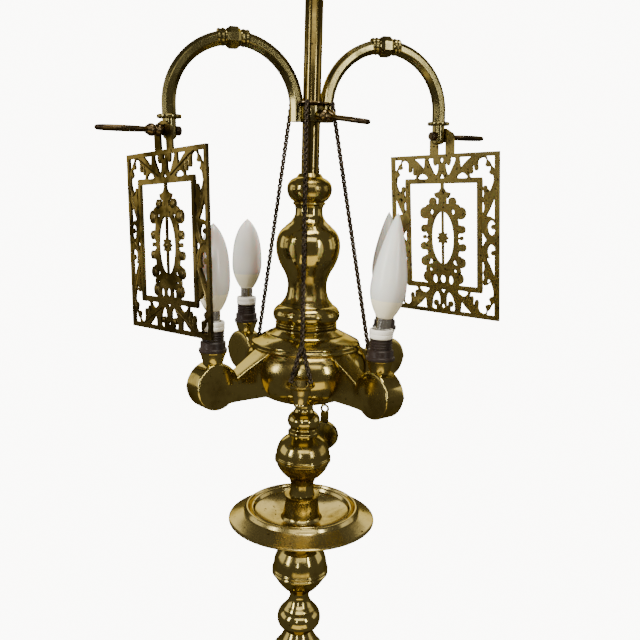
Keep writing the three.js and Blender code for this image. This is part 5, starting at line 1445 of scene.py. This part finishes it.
# %% [markdown]
# ## The lamplighter's tools
# Small things hang on the chains: a brass bucket to snuff flames, a trimmer with a round box
# for the cut wick, and a pick and tweezers in dark bronze. Most of each is hidden by the stem.

# %% Tools
BUCKET_SHARES = [
    (0.45, 0), (0.5, 0.06), (0.46, 0.14), (0.52, 0.36, 0.66, 0.55), (0.74, 0.78), (0.96, 0.88),
    (1, 0.92), (1, 1),
]
BUCKET_WALL, BUCKET_FLOOR = 1.8, 14
bm = bmesh.new()
wall = eased(smooth_outline(BUCKET_SHARES, BUCKET_RADIUS, BUCKET_HEIGHT), 0.4)
inside = BUCKET_RADIUS - BUCKET_WALL
hollow = [(inside, BUCKET_HEIGHT), (inside * 0.62, BUCKET_FLOOR + 3), (0, BUCKET_FLOOR)]
turned(bm, [(0, 0)] + wall + hollow, 48)
piece("bucket_turned", bm, pan_brass, "hanger", ["snuffer_bucket"],
      turn_z(FRONT_ANGLE) @ Matrix.Translation((BUCKET_REACH, 0, bucket_top - BUCKET_HEIGHT)))


def hanging_place(side):
    """The end of a side's chain, with X pointing away from the stem."""
    _, angle, drop = CHAINS[side]
    return Matrix.Translation(polar(BEND_RADIUS, angle, BEND_HEIGHT - drop - SEAT_GAP)) @ turn_z(angle)


LUG, NECK_WIDE, NECK_LONG, PLATE, TRIM_BOX, TRIM_DEEP, SPIKE, TOOL_WIRE = 6, 10, 14, 3, 18, 9, 17, 1.5
bm = bmesh.new()
lug = [Vector((0, p.y, p.x - LUG)) for p in round_points(LUG - TOOL_WIRE, LUG - TOOL_WIRE, 32)]
swept(bm, lug, ring_section(TOOL_WIRE, 8), closed=True)
neck_middle = -2 * LUG - NECK_LONG / 2 + TOOL_WIRE
neck_size = Matrix.Diagonal((PLATE, NECK_WIDE, NECK_LONG, 1))
bmesh.ops.create_cube(bm, size=1, matrix=lift_z(neck_middle) @ neck_size)
box_middle = -2 * LUG - NECK_LONG - TRIM_BOX + 3
deep = TRIM_DEEP / 2
box_points = [(0, -deep), (TRIM_BOX, -deep), (TRIM_BOX, deep), (TRIM_BOX - 3, deep), (TRIM_BOX - 4, deep - 1),
              (0, deep - 0.4)]
turned(bm, eased([Vector(p) for p in box_points], 0.7), 48, lift_z(box_middle) @ UP_TO_X)
spike_top = box_middle - TRIM_BOX / 2
spike_low = spike_top - SPIKE
turned(bm, [(0, spike_low), (0.75, spike_low), (3, spike_top), (0, spike_top)], 20)
piece("trimmer", bm, arm_brass, "hanger", ["wick_trimmer"], hanging_place("rear"))

PICK_RADIUS, PICK_LENGTH, PICK_KNOB = 1.6, 33, 4.2
bm = bmesh.new()
needle = [
    (0, -PICK_LENGTH), (0.8, -PICK_LENGTH), (PICK_RADIUS, -PICK_LENGTH + 8.4), (PICK_RADIUS, -8.4),
    (3.6, -6), (PICK_KNOB, -4.2), (3.6, -2.4), (PICK_RADIUS, 0), (0, 0),
]
turned(bm, needle, 24)
piece("pick", bm, dark_bronze, "hanger", ["wick_pick"], hanging_place("left"))

TWEEZERS_WIDTH, TIP = 5, -33
bm = bmesh.new()
strip = [(-1.6, 0), (1.6, 0), (4.5, TIP), (2.9, TIP), (0, -9.5), (-2.9, TIP), (-4.5, TIP)]
edges = (-TWEEZERS_WIDTH / 2, TWEEZERS_WIDTH / 2)
loft(bm, [[bm.verts.new((edge, x, z)) for x, z in strip] for edge in edges])
piece("tweezer_strip", bm, dark_bronze, "hanger", ["tweezers"], hanging_place("right"))
print("tools hung")

# %% [markdown]
# ## The pieces that stay as CAD
# The weight, nut, rod and cable parts are hardly seen, so the CAD solids stay and only get
# their finishes.

# %% Finish the CAD solids
for node, material in {
    "base_weight": iron, "base_nut": steel, "tie_rod": steel, "inner_lead": cable, "cable_gland": cable,
}.items():
    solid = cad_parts[node]
    solid.data.materials.clear()
    solid.data.materials.append(material)

# %% Sizes
seen_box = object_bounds()
for title, box in (("cad", cad_box), ("seen", seen_box)):
    print(title, [[round(v, 4) for v in corner] for corner in box])
